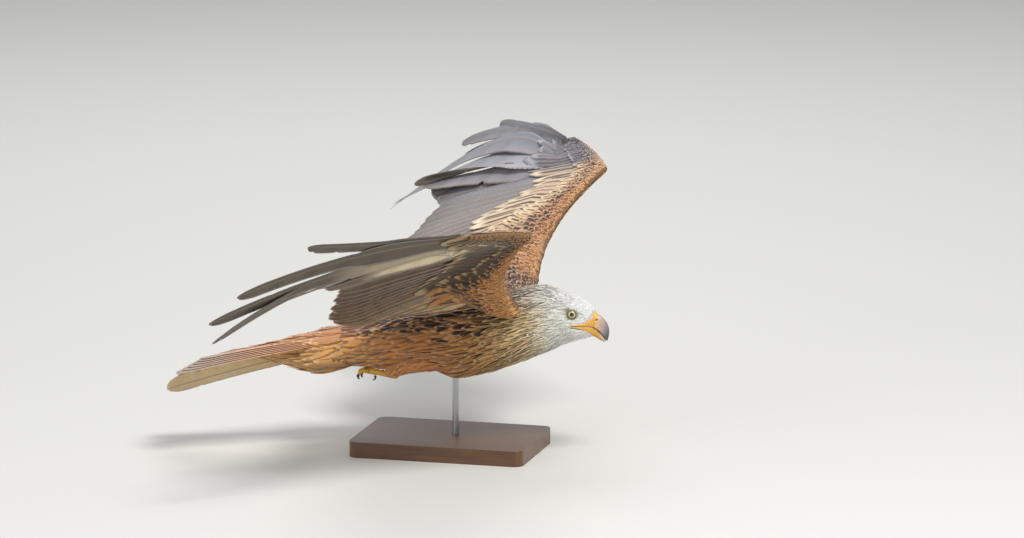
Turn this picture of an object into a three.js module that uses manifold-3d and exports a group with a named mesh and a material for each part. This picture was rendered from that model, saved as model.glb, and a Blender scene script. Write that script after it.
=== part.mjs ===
// A life-size red kite on the upstroke, wings raised and hands swept back, held over a plain display stand.
// Millimetres. +X is ahead of the bird, +Y is its left and +Z is up. The origin is the middle of the underside
// of the stand's base. The bird is built round its own origin, in the middle of its trunk, and lifted as a group.
import * as THREE from "three";
import { mergeVertices } from "three/addons/utils/BufferGeometryUtils.js";
import Module from "manifold-3d";

const wasm = await Module();
wasm.setup();

// Driving sizes
const GAP = 0.3; // kept between pieces that touch
const FLIGHT_HEIGHT = 170; // trunk origin above the floor
const HUMERUS = 118;
const FOREARM = 136;
const TERTIALS = 4;
const SECONDARIES = 12;
const PRIMARIES = 10;
const TAIL_PAIRS = 6;
const EYE_RADIUS = 8.6;
const VANE_EDGE = 0.5; // thickness of a feather's vane at its edges
const VANE_SHAFT = 0.85; // and at its shaft

const vec = (x, y, z) => new THREE.Vector3(x, y, z);
const lerp = THREE.MathUtils.lerp;
const smooth = THREE.MathUtils.smoothstep;
const radians = THREE.MathUtils.degToRad;

// A smooth curve through rows of [place, value, value, ...]: cubic Hermite with slopes from the neighbours.
function throughRows(rows) {
  const slope = (k, c) => {
    const a = rows[Math.max(k - 1, 0)];
    const b = rows[Math.min(k + 1, rows.length - 1)];
    return (b[c] - a[c]) / (b[0] - a[0]);
  };
  return (place) => {
    let k = 0;
    while (k < rows.length - 2 && place > rows[k + 1][0]) k += 1;
    const [a, b] = [rows[k], rows[k + 1]];
    const span = b[0] - a[0];
    const t = Math.min(Math.max((place - a[0]) / span, 0), 1);
    const [t2, t3] = [t * t, t * t * t];
    return a.slice(1).map((value, n) => {
      const c = n + 1;
      return (
        value * (2 * t3 - 3 * t2 + 1) +
        slope(k, c) * span * (t3 - 2 * t2 + t) +
        b[c] * (3 * t2 - 2 * t3) +
        slope(k + 1, c) * span * (t3 - t2)
      );
    });
  };
}

// Geometry from triangles, turned round where needed so that its faces point out.
function closedGeometry(points, triangles) {
  let volume = 0;
  for (const [a, b, c] of triangles) {
    volume += points[a].dot(vec(0, 0, 0).crossVectors(points[b], points[c]));
  }
  const faces = volume > 0 ? triangles : triangles.map(([a, b, c]) => [a, c, b]);
  const geometry = new THREE.BufferGeometry().setFromPoints(points);
  geometry.setIndex(faces.flat());
  return geometry;
}

// A closed skin over rings of equal count, with a fan at each end.
function loft(rings) {
  const sides = rings[0].length;
  const points = rings.flat();
  const triangles = [];
  for (let j = 0; j < rings.length - 1; j += 1) {
    for (let k = 0; k < sides; k += 1) {
      const [a, b] = [j * sides + k, j * sides + ((k + 1) % sides)];
      triangles.push([a, b, b + sides], [a, b + sides, a + sides]);
    }
  }
  for (const [start, turn] of [[0, true], [(rings.length - 1) * sides, false]]) {
    for (let k = 1; k < sides - 1; k += 1) {
      const [b, c] = turn ? [start + k + 1, start + k] : [start + k, start + k + 1];
      triangles.push([start, b, c]);
    }
  }
  return closedGeometry(points, triangles);
}

// A round limb: rings across a smooth path through [x, y, z, radius] rows. The limbs all bend up and down or
// along the bird, so the rings are turned to its left, which keeps them from twisting.
const LEFT = vec(0, 1, 0);

function limb(rows, sides, rings, flat = 1) {
  const path = new THREE.CatmullRomCurve3(rows.map(([x, y, z]) => vec(x, y, z)), false, "centripetal");
  const radius = throughRows(rows.map((row, k) => [k / (rows.length - 1), row[3]]));
  const made = [];
  for (let j = 0; j < rings; j += 1) {
    const t = j / (rings - 1);
    const centre = path.getPoint(t);
    const along = path.getTangent(t);
    const side = LEFT.clone().addScaledVector(along, -LEFT.dot(along)).normalize();
    const up = vec(0, 0, 0).crossVectors(side, along);
    const [r] = radius(t);
    made.push(
      Array.from({ length: sides }, (_, k) => {
        const turn = (k / sides) * 2 * Math.PI;
        return centre
          .clone()
          .addScaledVector(side, r * Math.cos(turn))
          .addScaledVector(up, r * flat * Math.sin(turn));
      }),
    );
  }
  return loft(made);
}

// Closed geometry to a solid and back
function solidOf(geometry) {
  const bare = geometry.clone();
  bare.deleteAttribute("normal");
  bare.deleteAttribute("uv");
  const merged = mergeVertices(bare, 1e-4);
  return new wasm.Manifold(
    new wasm.Mesh({
      numProp: 3,
      vertProperties: new Float32Array(merged.attributes.position.array),
      triVerts: new Uint32Array(merged.index.array),
    }),
  );
}

function geometryOf(solid) {
  const { vertProperties, triVerts } = solid.getMesh();
  const geometry = new THREE.BufferGeometry();
  geometry.setAttribute("position", new THREE.BufferAttribute(vertProperties, 3));
  geometry.setIndex(new THREE.BufferAttribute(triVerts, 1));
  geometry.computeVertexNormals();
  return geometry;
}

const joined = (geometries) => geometries.map(solidOf).reduce((whole, piece) => whole.add(piece));
const largest = (solid) => solid.decompose().reduce((a, b) => (a.volume() >= b.volume() ? a : b));

const bird = new THREE.Group();
const stand = new THREE.Group();

function addNode(group, name, solid, color, roughness, metalness = 0) {
  const material = new THREE.MeshStandardMaterial({ color, roughness, metalness });
  const mesh = new THREE.Mesh(geometryOf(largest(solid)), material);
  mesh.name = name;
  group.add(mesh);
}

// Trunk, neck and head are one form, given as stations along x: the height of the back, of the widest line and
// of the belly, and the half width.
const BODY = throughRows([
  [-178, -5, -29, -60, 27],
  [-145, 0, -26, -56, 37],
  [-100, 12, -22, -58, 44],
  [-50, 27, -13, -57, 49],
  [-20, 35, -8, -57, 52],
  [14, 43, -3, -66, 54],
  [43, 50, 4, -60, 54],
  [86, 61, 15, -46, 50],
  [122, 71, 22, -31, 40],
  [145, 70, 25, -21, 32],
  [160, 64, 28, -13, 28],
  [172, 60, 31, -8, 26],
  [183, 57, 32, -4, 24],
  [194, 51, 30, -1, 19],
  [203, 44, 26, 2, 13],
  [208, 38, 23, 6, 9.5],
]);
const TRUNK = { from: -178, to: 116, rings: 13, sides: 20 };
const NECK = { from: 116 + GAP, to: 150, rings: 4, sides: 20 };
const HEAD = { from: 150 + GAP, to: 206, rings: 9, sides: 20 };
const SWAY = { from: -90, curve: 0.0016 }; // the rump bends to the right, towards the tail
const BODY_POWER = 2.15; // the sections are slightly squarer than ellipses

function bodyRing(x, sides, swell) {
  const [top, middle, bottom, half] = BODY(x);
  const sway = -SWAY.curve * Math.max(SWAY.from - x, 0) ** 2;
  return Array.from({ length: sides }, (_, k) => {
    const turn = (k / sides) * 2 * Math.PI;
    const [c, s] = [Math.cos(turn), Math.sin(turn)];
    const reach = (Math.abs(c) ** BODY_POWER + Math.abs(s) ** BODY_POWER) ** (-1 / BODY_POWER);
    const height = (s > 0 ? top - middle : middle - bottom) + swell;
    return vec(x, sway + reach * c * (half + swell), middle + reach * s * height);
  });
}

// One length of the body. Swell makes it larger all over, to cut clearance in what meets it.
function bodyPiece({ from, to, rings, sides }, swell = 0) {
  const made = [];
  for (let j = 0; j < rings; j += 1) {
    made.push(bodyRing(lerp(from - swell, to + swell, j / (rings - 1)), sides, swell));
  }
  return solidOf(loft(made));
}

// How far out the body's surface is at x and z.
function bodySide(x, z) {
  const [top, middle, bottom, half] = BODY(x);
  const share = Math.min(Math.abs(z - middle) / (z > middle ? top - middle : middle - bottom), 1);
  return half * (1 - share ** BODY_POWER) ** (1 / BODY_POWER);
}

const trunkClear = bodyPiece(TRUNK, GAP);
const headClear = bodyPiece(HEAD, GAP);
const bodyClear = trunkClear.add(bodyPiece(NECK, GAP));

// A feather: a thin vane along the line from root to tip, with a raised shaft. Its up side faces the bird's
// back and its outer edge the edge of the wing or tail. The outer edge rides higher than the inner, so that a
// row of them lies like shingles, each clear of the next. The functions up, tilt and bend are of the place
// along it. Camber arches it up and sweep bends it aside between its start and its tip, as shares of its length.
// Both faces are split alike.
function feather(spec) {
  const { root, tip, up, side, inner, outer, rows } = spec;
  const { from = 0, to = 1, lift = [0, 0], camber = 0.01, sweep = 0, tilt = () => 0.05, bend = () => 0 } = spec;
  const { notch = 1, notchAt = 0.55, taper = 0.2, edge = VANE_EDGE, shaft = VANE_SHAFT, flat = false } = spec;
  const line = tip.clone().sub(root);
  const length = line.length();
  const points = [];
  for (const row of rows) {
    const t = lerp(from, to, row);
    const visible = (t - from) / (1 - from);
    const arch = 4 * visible * (1 - visible) * length;
    const rough = up(t);
    const normal = rough.clone().addScaledVector(line, -rough.dot(line) / (length * length)).normalize();
    const across = vec(0, 0, 0).crossVectors(line, normal).normalize().multiplyScalar(side);
    const centre = root
      .clone()
      .addScaledVector(line, t)
      .addScaledVector(normal, camber * arch + lerp(lift[0], lift[1], row))
      .addScaledVector(across, sweep * arch);
    const narrow = lerp(1, notch, smooth(t, notchAt - 0.07, notchAt + 0.07));
    const round = Math.sqrt(Math.max(1 - (Math.max(row - 1 + taper, 0) / taper) ** 2, 0.1));
    const full = lerp(0.5, 1, smooth(row, 0, 0.3)) * narrow * round;
    const [slope, curve] = [tilt(t), bend(t) / 2];
    const sideEdges = [
      [-inner(t) * full, edge],
      [outer * full, edge],
    ];
    const columns = flat ? sideEdges : [sideEdges[0], [0, lerp(shaft, edge, row)], sideEdges[1]];
    for (const face of [0.5, -0.5]) {
      for (const [a, deep] of columns) {
        points.push(
          centre
            .clone()
            .addScaledVector(across, a)
            .addScaledVector(normal, slope * a - curve * a * a + face * deep),
        );
      }
    }
  }
  const count = flat ? 2 : 3;
  const ring = 2 * count;
  const triangles = [];
  const last = rows.length - 1;
  for (let j = 0; j < last; j += 1) {
    const [here, next] = [j * ring, (j + 1) * ring];
    for (let c = 0; c < count - 1; c += 1) {
      const [low, lowNext] = [here + count + c, next + count + c];
      triangles.push([here + c, here + c + 1, next + c + 1], [here + c, next + c + 1, next + c]);
      triangles.push([low, lowNext + 1, low + 1], [low, lowNext, lowNext + 1]);
    }
    const [right, rightNext] = [here + count - 1, next + count - 1];
    triangles.push([here, next, next + count], [here, next + count, here + count]);
    triangles.push([right, rightNext + count, rightNext], [right, right + count, rightNext + count]);
  }
  for (let c = 0; c < count - 1; c += 1) {
    const end = last * ring + c;
    triangles.push([c, c + count + 1, c + 1], [c, c + count, c + count + 1]);
    triangles.push([end, end + 1, end + count + 1], [end, end + count + 1, end + count]);
  }
  return closedGeometry(points, triangles);
}

const FLIGHT_ROWS = [0, 0.45, 0.85, 1];
const FINGER_ROWS = [0, 0.35, 0.55, 0.88, 1];
const COVERT_ROWS = [0, 0.7, 1];

// Wings. Each side's joints and feather tips are [ahead, outward, up] from the trunk's origin, because the
// two wings of a bird that is turning are not quite alike. Tips are given by the feather's number along the
// wing: tertials from 0, then secondaries from the elbow out, then primaries 1 to 10. Fingers gives how far a
// feather of the hand bends forward and arches up, as shares of its length, and how much of its width is left
// beyond its notch.
const FIRST_SECONDARY = TERTIALS;
const FIRST_PRIMARY = TERTIALS + SECONDARIES;
const LAST = FIRST_PRIMARY + PRIMARIES - 1;
const WINGS = {
  right: {
    side: -1,
    shoulder: [92, 38, 40],
    wrist: [154, 180, 177],
    fingertip: [94, 260, 188],
    fingers: {
      21: [0.03, 0.01, 0.75],
      22: [0.09, 0.045, 0.75],
      23: [0.045, 0.01, 0.68],
      24: [0.045, 0.01, 0.68],
      25: [-0.03, 0.01, 0.68],
    },
    tips: [
      [0, -92, 56, 22],
      [3, -122, 76, 16],
      [5, -142, 94, 20],
      [9, -134, 140, 44],
      [12, -114, 190, 72],
      [15, -97, 240, 99],
      [17, -99, 288, 106],
      [20, -100, 340, 118],
      [21, -131, 405, 111],
      [22, -197, 479, 69],
      [23, -192, 509, 102],
      [24, -142, 542, 148],
      [25, -54, 508, 213],
    ],
  },
  left: {
    side: 1,
    shoulder: [92, 38, 40],
    wrist: [170, 160, 206],
    fingertip: [112, 226, 234],
    fingers: {
      19: [0.02, 0.02, 1],
      20: [0.05, 0.035, 1],
      21: [0.1, 0.045, 1],
      22: [0.15, 0.06, 0.95],
      23: [0.07, 0.01, 0.75],
      24: [0.06, 0.01, 0.68],
      25: [0.01, 0.01, 0.68],
    },
    tips: [
      [0, -92, 54, 26],
      [3, -122, 74, 28],
      [5, -134, 92, 40],
      [9, -118, 138, 80],
      [12, -98, 186, 106],
      [15, -84, 234, 128],
      [17, -104, 288, 137],
      [20, -136, 322, 137],
      [22, -205, 432, 82],
      [23, -112, 500, 155],
      [24, -123, 523, 168],
      [25, -56, 479, 206],
    ],
  },
};
const VARIED = 100; // another draw for the same feather
const SHORTEST = 0.03; // some feathers are this share shorter than the line of the wing's edge
const vary = (k) => lerp(0.96, 1.04, THREE.MathUtils.seededRandom(k + 1)); // no two feathers are quite alike
const PATAGIUM_SAG = 26; // the skin before the elbow bows in this far
const HAND_EDGE = [13, 8]; // how far the leading edge lies before the bones, at the wrist and at the fingertip
const HAND_BOW = 4; // the hand's leading edge bows out this far
const CAMBER = 0.01; // a flight feather arches up by this share of its length
const WIDTHS = throughRows([
  [0, 40],
  [4, 44],
  [15, 46],
  [18, 50],
  [20, 56],
  [22, 52],
  [24, 40],
  [25, 30],
]);

const SHINGLE_STEP = 1.3; // a shaft's thickness and a little air
const SHINGLE_RANGE = [0.05, 0.3];
const MOST_BEND = 0.015;

function wingFrame({ side, shoulder, wrist, fingertip, fingers, tips }) {
  const outward = ([x, y, z]) => vec(x, side * y, z);
  const [s, w, handEnd] = [shoulder, wrist, fingertip].map(outward);
  const reach = w.clone().sub(s);
  const along = (HUMERUS ** 2 - FOREARM ** 2 + reach.lengthSq()) / (2 * reach.length());
  const unit = reach.clone().normalize();
  const back = vec(-1, 0, -0.1).addScaledVector(unit, -vec(-1, 0, -0.1).dot(unit)).normalize();
  const elbow = s
    .clone()
    .addScaledVector(unit, along)
    .addScaledVector(back, Math.sqrt(HUMERUS ** 2 - along ** 2));
  const tipLine = throughRows(tips.map(([k, x, y, z]) => [k, x, side * y, z]));
  const tip = (k) => vec(...tipLine(k));
  const rootRows = [
    [-1, s.clone().lerp(elbow, 0.25)],
    [TERTIALS - 0.5, elbow],
    [FIRST_PRIMARY - 0.8, w.clone().lerp(elbow, 0.06)],
    [FIRST_PRIMARY + 0.4, w.clone().lerp(handEnd, 0.08)],
    [LAST, handEnd],
  ];
  const root = (k) => {
    let n = 0;
    while (n < rootRows.length - 2 && k > rootRows[n + 1][0]) n += 1;
    const [[k0, a], [k1, b]] = [rootRows[n], rootRows[n + 1]];
    return a.clone().lerp(b, Math.min(Math.max((k - k0) / (k1 - k0), 0), 1));
  };
  const direction = (k) => tip(k).sub(root(k)).normalize();
  // from one feather to the next, square to them, at the share t of their length
  const apart = (k, t) => {
    const [before, after] = [Math.max(k - 2, 0), Math.min(k + 2, LAST)];
    const gap = root(after).lerp(tip(after), t).sub(root(before).lerp(tip(before), t));
    const along = direction(k);
    return gap.addScaledVector(along, -gap.dot(along)).divideScalar(after - before);
  };
  const up = (k, t) => vec(0, 0, 0).crossVectors(direction(k), apart(k, t)).normalize().multiplyScalar(-side);
  return { side, shoulder: s, elbow, wrist: w, handEnd, fingers, tip, root, direction, apart, up };
}

// How the row of feathers lies at feather k: the slope across it that keeps it clear of its neighbours, and
// how much the wing's surface bends across the row.
function shingle({ apart, up }, k) {
  const [before, after] = [Math.max(k - 1, 0), Math.min(k + 1, LAST)];
  return {
    up: (t) => up(k, t),
    tilt: (t) => THREE.MathUtils.clamp(SHINGLE_STEP / apart(k, t).length(), ...SHINGLE_RANGE),
    bend: (t) => {
      const gap = apart(k, t);
      const turn = up(after, t).sub(up(before, t)).divideScalar(after - before);
      const most = MOST_BEND * (1 - smooth(gap.length(), 12, 26));
      return THREE.MathUtils.clamp(turn.dot(gap) / gap.lengthSq(), -most, most);
    },
  };
}

// The leading edge: from the shoulder along the bowed patagium to the wrist, then down the hand.
function leadingEdge(frame, k) {
  const { side, shoulder, elbow, wrist, handEnd } = frame;
  const hand = handEnd.clone().sub(wrist).normalize();
  const ahead = vec(0, 0, 0).crossVectors(frame.up(FIRST_PRIMARY + 4, 0.2), hand).normalize().multiplyScalar(-side);
  const inFront = shoulder.clone().add(vec(20, side * 12, 5));
  const onWrist = wrist.clone().add(vec(11, side * 2, 1)).addScaledVector(ahead, 3);
  const joint = FIRST_PRIMARY - 0.5;
  if (k <= joint) {
    const p = Math.max(k, 0) / joint;
    const middle = inFront.clone().lerp(onWrist, 0.5);
    const sag = elbow.clone().sub(middle).normalize().multiplyScalar(PATAGIUM_SAG * 4 * p * (1 - p));
    return inFront.clone().lerp(onWrist, p).add(sag);
  }
  const q = (k - joint) / (LAST - joint);
  const stand = lerp(...HAND_EDGE, q) + HAND_BOW * 4 * q * (1 - q);
  const along = wrist.clone().lerp(handEnd, q).addScaledVector(ahead, stand);
  return onWrist.lerp(along, smooth(q, 0, 0.25));
}

// The wing's flesh with its small coverts, from the leading edge to where the long feathers come out. Rows
// below 0 run into the trunk.
const CORE = throughRows([
  // number along the wing, greatest thickness, thickness at the rear, depth behind the quills' roots
  [-3, 34, 12, 34],
  [0, 30, 11, 40],
  [4, 25, 11, 46],
  [10, 21, 11, 48],
  [15, 18, 11, 52],
  [18, 15, 10, 58],
  [22, 11, 8, 62],
  [25, 6, 5, 48],
]);
const CORE_SIDES = 10;
const SUNK = 11; // how far inside the core a long feather starts
const INTO_TRUNK = 30;

function coreRing(frame, k) {
  const [thick, rearThick, behind] = CORE(k);
  const share = Math.min(k, 0) / -3;
  const inward = vec(-8 * share, -frame.side * INTO_TRUNK * share, -10 * share);
  const place = Math.max(k, 0);
  const front = leadingEdge(frame, place).add(inward);
  const rear = frame.root(place).addScaledVector(frame.direction(place), behind).add(inward);
  const chord = rear.clone().sub(front);
  const up = frame.up(place, 0.15);
  const normal = up.addScaledVector(chord, -up.dot(chord) / chord.lengthSq()).normalize();
  return Array.from({ length: CORE_SIDES }, (_, n) => {
    const turn = ((n + 0.5) / CORE_SIDES) * 2 * Math.PI;
    const t = (1 - Math.cos(turn)) / 2;
    const half = lerp(thick * Math.sqrt(Math.sin(Math.PI * t ** 0.62)), rearThick, smooth(t, 0.5, 0.97)) / 2;
    return front
      .clone()
      .addScaledVector(chord, t)
      .addScaledVector(normal, Math.sign(Math.sin(turn)) * half);
  });
}

const wingCore = (frame, places) => loft(places.map((k) => coreRing(frame, k)));

// Flight feathers, with one row of greater coverts over their bases and one under them
const COVERTS = [
  { share: 0.54, lift: [4.6, 4] },
  { share: 0.48, lift: [-4.6, -4] },
];
const COVERT_EVERY = 4; // one wide covert stands for this many
const COVERT_WIDTH = 1.2;
const COVERT_SPLIT = 0.4;
const FINGERS_FROM = 6; // the sixth primary is the first whose tip stands free as a finger
const FLIGHT_SHAPE = { split: 0.36, taper: 0.2, rows: FLIGHT_ROWS };
const FINGER_SHAPE = { split: 0.28, taper: 0.12, rows: FINGER_ROWS };
const NOTCH_AT = [0.62, 0.45]; // where a finger narrows, on the first finger and on the last

function wingFeathers(frame, from, to) {
  const made = [];
  for (let k = from; k <= to; k += 1) {
    const primary = k - FIRST_PRIMARY + 1;
    const finger = primary >= FINGERS_FROM;
    const width = WIDTHS(k)[0] * vary(k);
    const [root, tip] = [frame.root(k), frame.tip(k)];
    if (!finger) tip.lerp(root, SHORTEST * THREE.MathUtils.seededRandom(k + VARIED));
    const start = Math.max(CORE(k)[2] - SUNK, 2) / root.distanceTo(tip);
    const { split, ...shape } = finger ? FINGER_SHAPE : FLIGHT_SHAPE;
    const [sweep, camber, notch] = frame.fingers[k] ?? [0, CAMBER, 1];
    const vane = { root, tip, side: frame.side, from: start, sweep, camber, ...shingle(frame, k) };
    made.push(
      feather({
        ...vane,
        ...shape,
        inner: () => width * (1 - split),
        outer: width * split,
        notch,
        notchAt: lerp(...NOTCH_AT, (primary - FINGERS_FROM) / (LAST - FIRST_PRIMARY + 1 - FINGERS_FROM)),
      }),
    );
    for (const { share, lift } of k % COVERT_EVERY ? [] : COVERTS) {
      made.push(
        feather({
          ...vane,
          to: share * (primary > FINGERS_FROM ? 0.8 : 1),
          inner: () => width * COVERT_WIDTH * (1 - COVERT_SPLIT),
          outer: width * COVERT_WIDTH * COVERT_SPLIT,
          rows: COVERT_ROWS,
          lift,
          taper: 0.3,
          flat: true,
        }),
      );
    }
  }
  return made;
}

// Half-spaces on either side of the cut through the wrist, as large boxes
function wristSides(frame) {
  const k = FIRST_PRIMARY - 0.5;
  const along = frame.direction(k);
  const up = frame.up(k, 0.2);
  const across = vec(0, 0, 0).crossVectors(along, up).normalize();
  if (across.y * frame.side < 0) across.negate();
  const size = 900;
  const turn = new THREE.Matrix4().makeBasis(across, along, vec(0, 0, 0).crossVectors(across, along));
  return [-1, 1].map((way) => {
    const box = new THREE.BoxGeometry(size, size, size).applyMatrix4(turn);
    const middle = frame.wrist.clone().addScaledVector(across, (way * (size + GAP)) / 2);
    return solidOf(box.translate(middle.x, middle.y, middle.z));
  });
}

for (const [name, pose] of Object.entries(WINGS)) {
  const frame = wingFrame(pose);
  const [innerSide, outerSide] = wristSides(frame);
  const arm = joined([
    wingCore(frame, [-3, 0, 2, 4, 6.5, 9, 12, 14.5, 16]),
    ...wingFeathers(frame, 0, FIRST_PRIMARY - 1),
  ]);
  const hand = joined([
    wingCore(frame, [14.5, 15.5, 16.5, 18, 20, 22.5, 25.5]),
    ...wingFeathers(frame, FIRST_PRIMARY, LAST),
  ]);
  addNode(bird, `wing_${name}_arm`, arm.intersect(innerSide).subtract(bodyClear), 0xa8713d, 0.8);
  addNode(bird, `wing_${name}_hand`, hand.intersect(outerSide), 0x4c423c, 0.75);
}

// Tail: twelve feathers in two halves that droop from the middle pair, the whole turned and rolled to steer
const TAIL = {
  root: vec(-145, -5, -10),
  yaw: 22, // the tip swings to the right
  pitch: 8.5, // tip down
  roll: 23, // left edge down
  droop: 21, // each half falls away from the middle
  fan: 9, // half angle between the outermost feathers
  rootStep: 2.4,
  layer: 1.3, // each pair lies this much under the last
  lengths: { right: [212, 252], left: [212, 264] }, // from its root to the tips, middle pair and outermost
  inner: 28, // widths of a feather's vanes
  outer: 19,
  ridge: 0.7, // no inner vane comes nearer to the middle line
  from: 45, // vanes start here, inside the coverts
};

const tailTurn = new THREE.Euler(-radians(TAIL.roll), -radians(TAIL.pitch), radians(TAIL.yaw), "ZYX");
const tailPoint = (back, left, up) => vec(-back, left, up).applyEuler(tailTurn).add(TAIL.root);

function tailFeathers() {
  const made = [];
  const droop = radians(TAIL.droop);
  for (let pair = 0; pair < TAIL_PAIRS; pair += 1) {
    const share = pair / (TAIL_PAIRS - 1);
    for (const [half, side] of [
      ["right", -1],
      ["left", 1],
    ]) {
      const length = lerp(...TAIL.lengths[half], share ** 1.4);
      const angle = radians((TAIL.fan * (pair + 0.4)) / (TAIL_PAIRS - 0.6));
      const layer = TAIL.layer * (2 * pair + (side > 0 ? 1 : 0));
      const at = (back, reach, lower) =>
        tailPoint(back, side * reach * Math.cos(droop), -reach * Math.sin(droop) - lower);
      const start = TAIL.rootStep * (pair + 0.5);
      made.push(
        feather({
          root: at(0, start, layer / 2),
          tip: at(length * Math.cos(angle), start + length * Math.sin(angle), layer / 2),
          up: () => vec(0, side * Math.sin(droop), Math.cos(droop)).applyEuler(tailTurn),
          side,
          inner: (t) => Math.min(start + t * length * Math.sin(angle) - TAIL.ridge, TAIL.inner),
          outer: TAIL.outer * vary(pair),
          rows: FLIGHT_ROWS,
          flat: true,
          from: TAIL.from / length,
          camber: 0.012,
          taper: 0.12,
        }),
      );
    }
  }
  return made;
}

// The coverts over and under the tail, a blunt wedge: rings back from the tail's root
const TAIL_BASE = [
  // back, half width, top, bottom
  [16, 29, 11, -52],
  [50, 28, 8, -50],
  [88, 22, 5, -34],
  [122, 13, 1, -17],
];

function tailBaseRing([back, half, top, bottom]) {
  const middle = (top + bottom) / 2;
  return Array.from({ length: 12 }, (_, k) => {
    const turn = (k / 12) * 2 * Math.PI;
    return tailPoint(back, half * Math.cos(turn), middle + ((top - bottom) / 2) * Math.sin(turn));
  });
}

const tail = joined([loft(TAIL_BASE.map(tailBaseRing)), ...tailFeathers()]);
addNode(bird, "tail", tail.subtract(trunkClear), 0xc9825a, 0.8);

// Legs: feathered thighs along the belly, with the bare feet drawn up and closed behind them
const LEG_SIDES = { right: -1, left: 1 };
const TOES = {
  // pad, knuckle and end of each closed toe: back, outward and up from the foot's pad, and which way it curls
  outer: { line: [[0, 3, 0], [11, 6, 0], [14, 6.4, -5]], curl: -1 },
  middle: { line: [[0, 0, 0], [13, 0.4, 0], [16.4, 0.4, -5.4]], curl: -1 },
  inner: { line: [[0, -3, 0], [9.6, -5.4, 0], [12.6, -5.6, -5]], curl: -1 },
  hind: { line: [[-2, 0, 0], [-6.4, 0, -2], [-7, 0, -6]], curl: 1 },
};
const FOOT = { ankle: [-76, 22, -64], pad: [-110, 19, -60], tarsus: 4.2, toe: 2.9, claw: 1.9 };

for (const [name, side] of Object.entries(LEG_SIDES)) {
  const [ax, ay, az] = FOOT.ankle;
  const [px, py, pz] = FOOT.pad;
  const at = ([back, out, up]) => vec(px - back, side * (py + out), pz + up);
  const shank = (radius) => [
    [ax + 8, side * ay, az, radius],
    [ax, side * ay, az, radius],
    [(ax + px) / 2, (side * (ay + py)) / 2, (az + pz) / 2, radius * 0.9],
    [px, side * py, pz, radius],
  ];
  const tarsus = limb([...shank(FOOT.tarsus), [px - 5, side * py, pz - 1, FOOT.toe]], 8, 5);
  const thigh = limb(
    [
      [14, side * 22, -35, 14],
      [-16, side * 25, -37, 17],
      [-50, side * 25, -44, 14],
      [-74, side * 23, -56, 9],
      [-84, side * 22, -62, 6],
    ],
    12,
    8,
  );
  const toes = [];
  const legTaken = trunkClear.add(solidOf(limb(shank(FOOT.tarsus + GAP), 8, 4)));
  for (const [toe, { line, curl }] of Object.entries(TOES)) {
    const points = line.map(at);
    toes.push(limb(points.map((p, n) => [p.x, p.y, p.z, FOOT.toe * (1 - 0.1 * n)]), 6, 5));
    const end = points[2];
    const along = end.clone().sub(points[1]).normalize();
    const claw = [[GAP, 0, 1], [3, 0, 0.8], [6, 1.6, 0.5], [7.6, 5, 0.2]].map(([ahead, inward, thick]) => {
      const point = end.clone().addScaledVector(along, ahead).add(vec(-curl * inward, 0, 0));
      return [point.x, point.y, point.z, FOOT.claw * thick];
    });
    addNode(bird, `claw_${name}_${toe}`, solidOf(limb(claw, 6, 4)), 0x262320, 0.35);
  }
  addNode(bird, `leg_${name}`, solidOf(thigh).subtract(legTaken), 0xc98a55, 0.85);
  addNode(bird, `foot_${name}`, joined([tarsus, ...toes]).subtract(trunkClear), 0xd9a520, 0.5);
}

// Bill: each half lies between its cutting edge and the line of its ridge or underside. Its sections are
// half-ellipses, widest at the cutting edge, which bulges a little.
const EDGE_BULGE = 0.05;

function billHalf(rows, ringCount, sides = 12) {
  const line = throughRows(rows.map((row, k) => [k, ...row]));
  const rings = Array.from({ length: ringCount }, (_, j) => {
    const [farX, farZ, edgeX, edgeZ, half] = line((j / (ringCount - 1)) * (rows.length - 1));
    return Array.from({ length: sides }, (_, k) => {
      const turn = (k / sides) * 2 * Math.PI;
      const share = Math.sin(turn) > 0 ? Math.sin(turn) : EDGE_BULGE * Math.sin(turn);
      return vec(lerp(edgeX, farX, share), half * Math.cos(turn), lerp(edgeZ, farZ, share));
    });
  });
  return solidOf(loft(rings));
}

const UPPER_BILL = [
  // ridge x and z, cutting edge x and z, half width
  [199, 43, 199, 18.2, 9],
  [206, 39, 204, 17.8, 9],
  [211, 34.6, 209, 16.6, 8.4],
  [217, 31.2, 213.5, 13.8, 7.2],
  [222.4, 26, 217.6, 9.8, 6],
  [226.6, 19, 220.6, 5.4, 4.6],
  [228.4, 11, 222.6, 1.6, 3.2],
  [227.6, 4, 223.6, -1.2, 1.9],
  [225.8, -2.6, 224.9, -2.9, 0.6],
];
const LOWER_BILL = [
  // underside x and z, cutting edge x and z, half width
  [199, 3.4, 199, 15.8, 8],
  [204, 2.8, 203.6, 15.4, 7.8],
  [209.4, 1.2, 208.4, 13.8, 7],
  [214, -1.6, 212.6, 10.4, 5.8],
  [218.4, -3.8, 216.8, 6, 4.2],
  [220.8, -4.4, 219.6, 1, 2.6],
  [221.6, -4.2, 221.2, -2.4, 1],
];

// The bare lips run back from the bill under the eye, one over and one under the line of the mouth. Each goes
// from the corner of the mouth along the side of the head and into the bill.
const MOUTH = { corner: 178, along: [188, 198, 204], front: 212, inBill: 6.4 };
const LIPS = {
  upper: { corner: 18.4, z: 19.4, front: 18.6, radius: 1.8 },
  lower: { corner: 16.2, z: 14.2, front: 10.6, radius: 1.4 },
};

function lips({ corner, z, front, radius }, swell = 0) {
  return [-1, 1].map((side) => {
    const onHead = (x, height, r) => [x, side * (bodySide(x, height) - 0.5), height, r + swell];
    const rows = [
      onHead(MOUTH.corner, corner, 0.8),
      ...MOUTH.along.map((x) => onHead(x, z, radius)),
      [MOUTH.front, side * MOUTH.inBill, front, radius + swell],
    ];
    return solidOf(limb(rows, 6, 6));
  });
}

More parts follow.
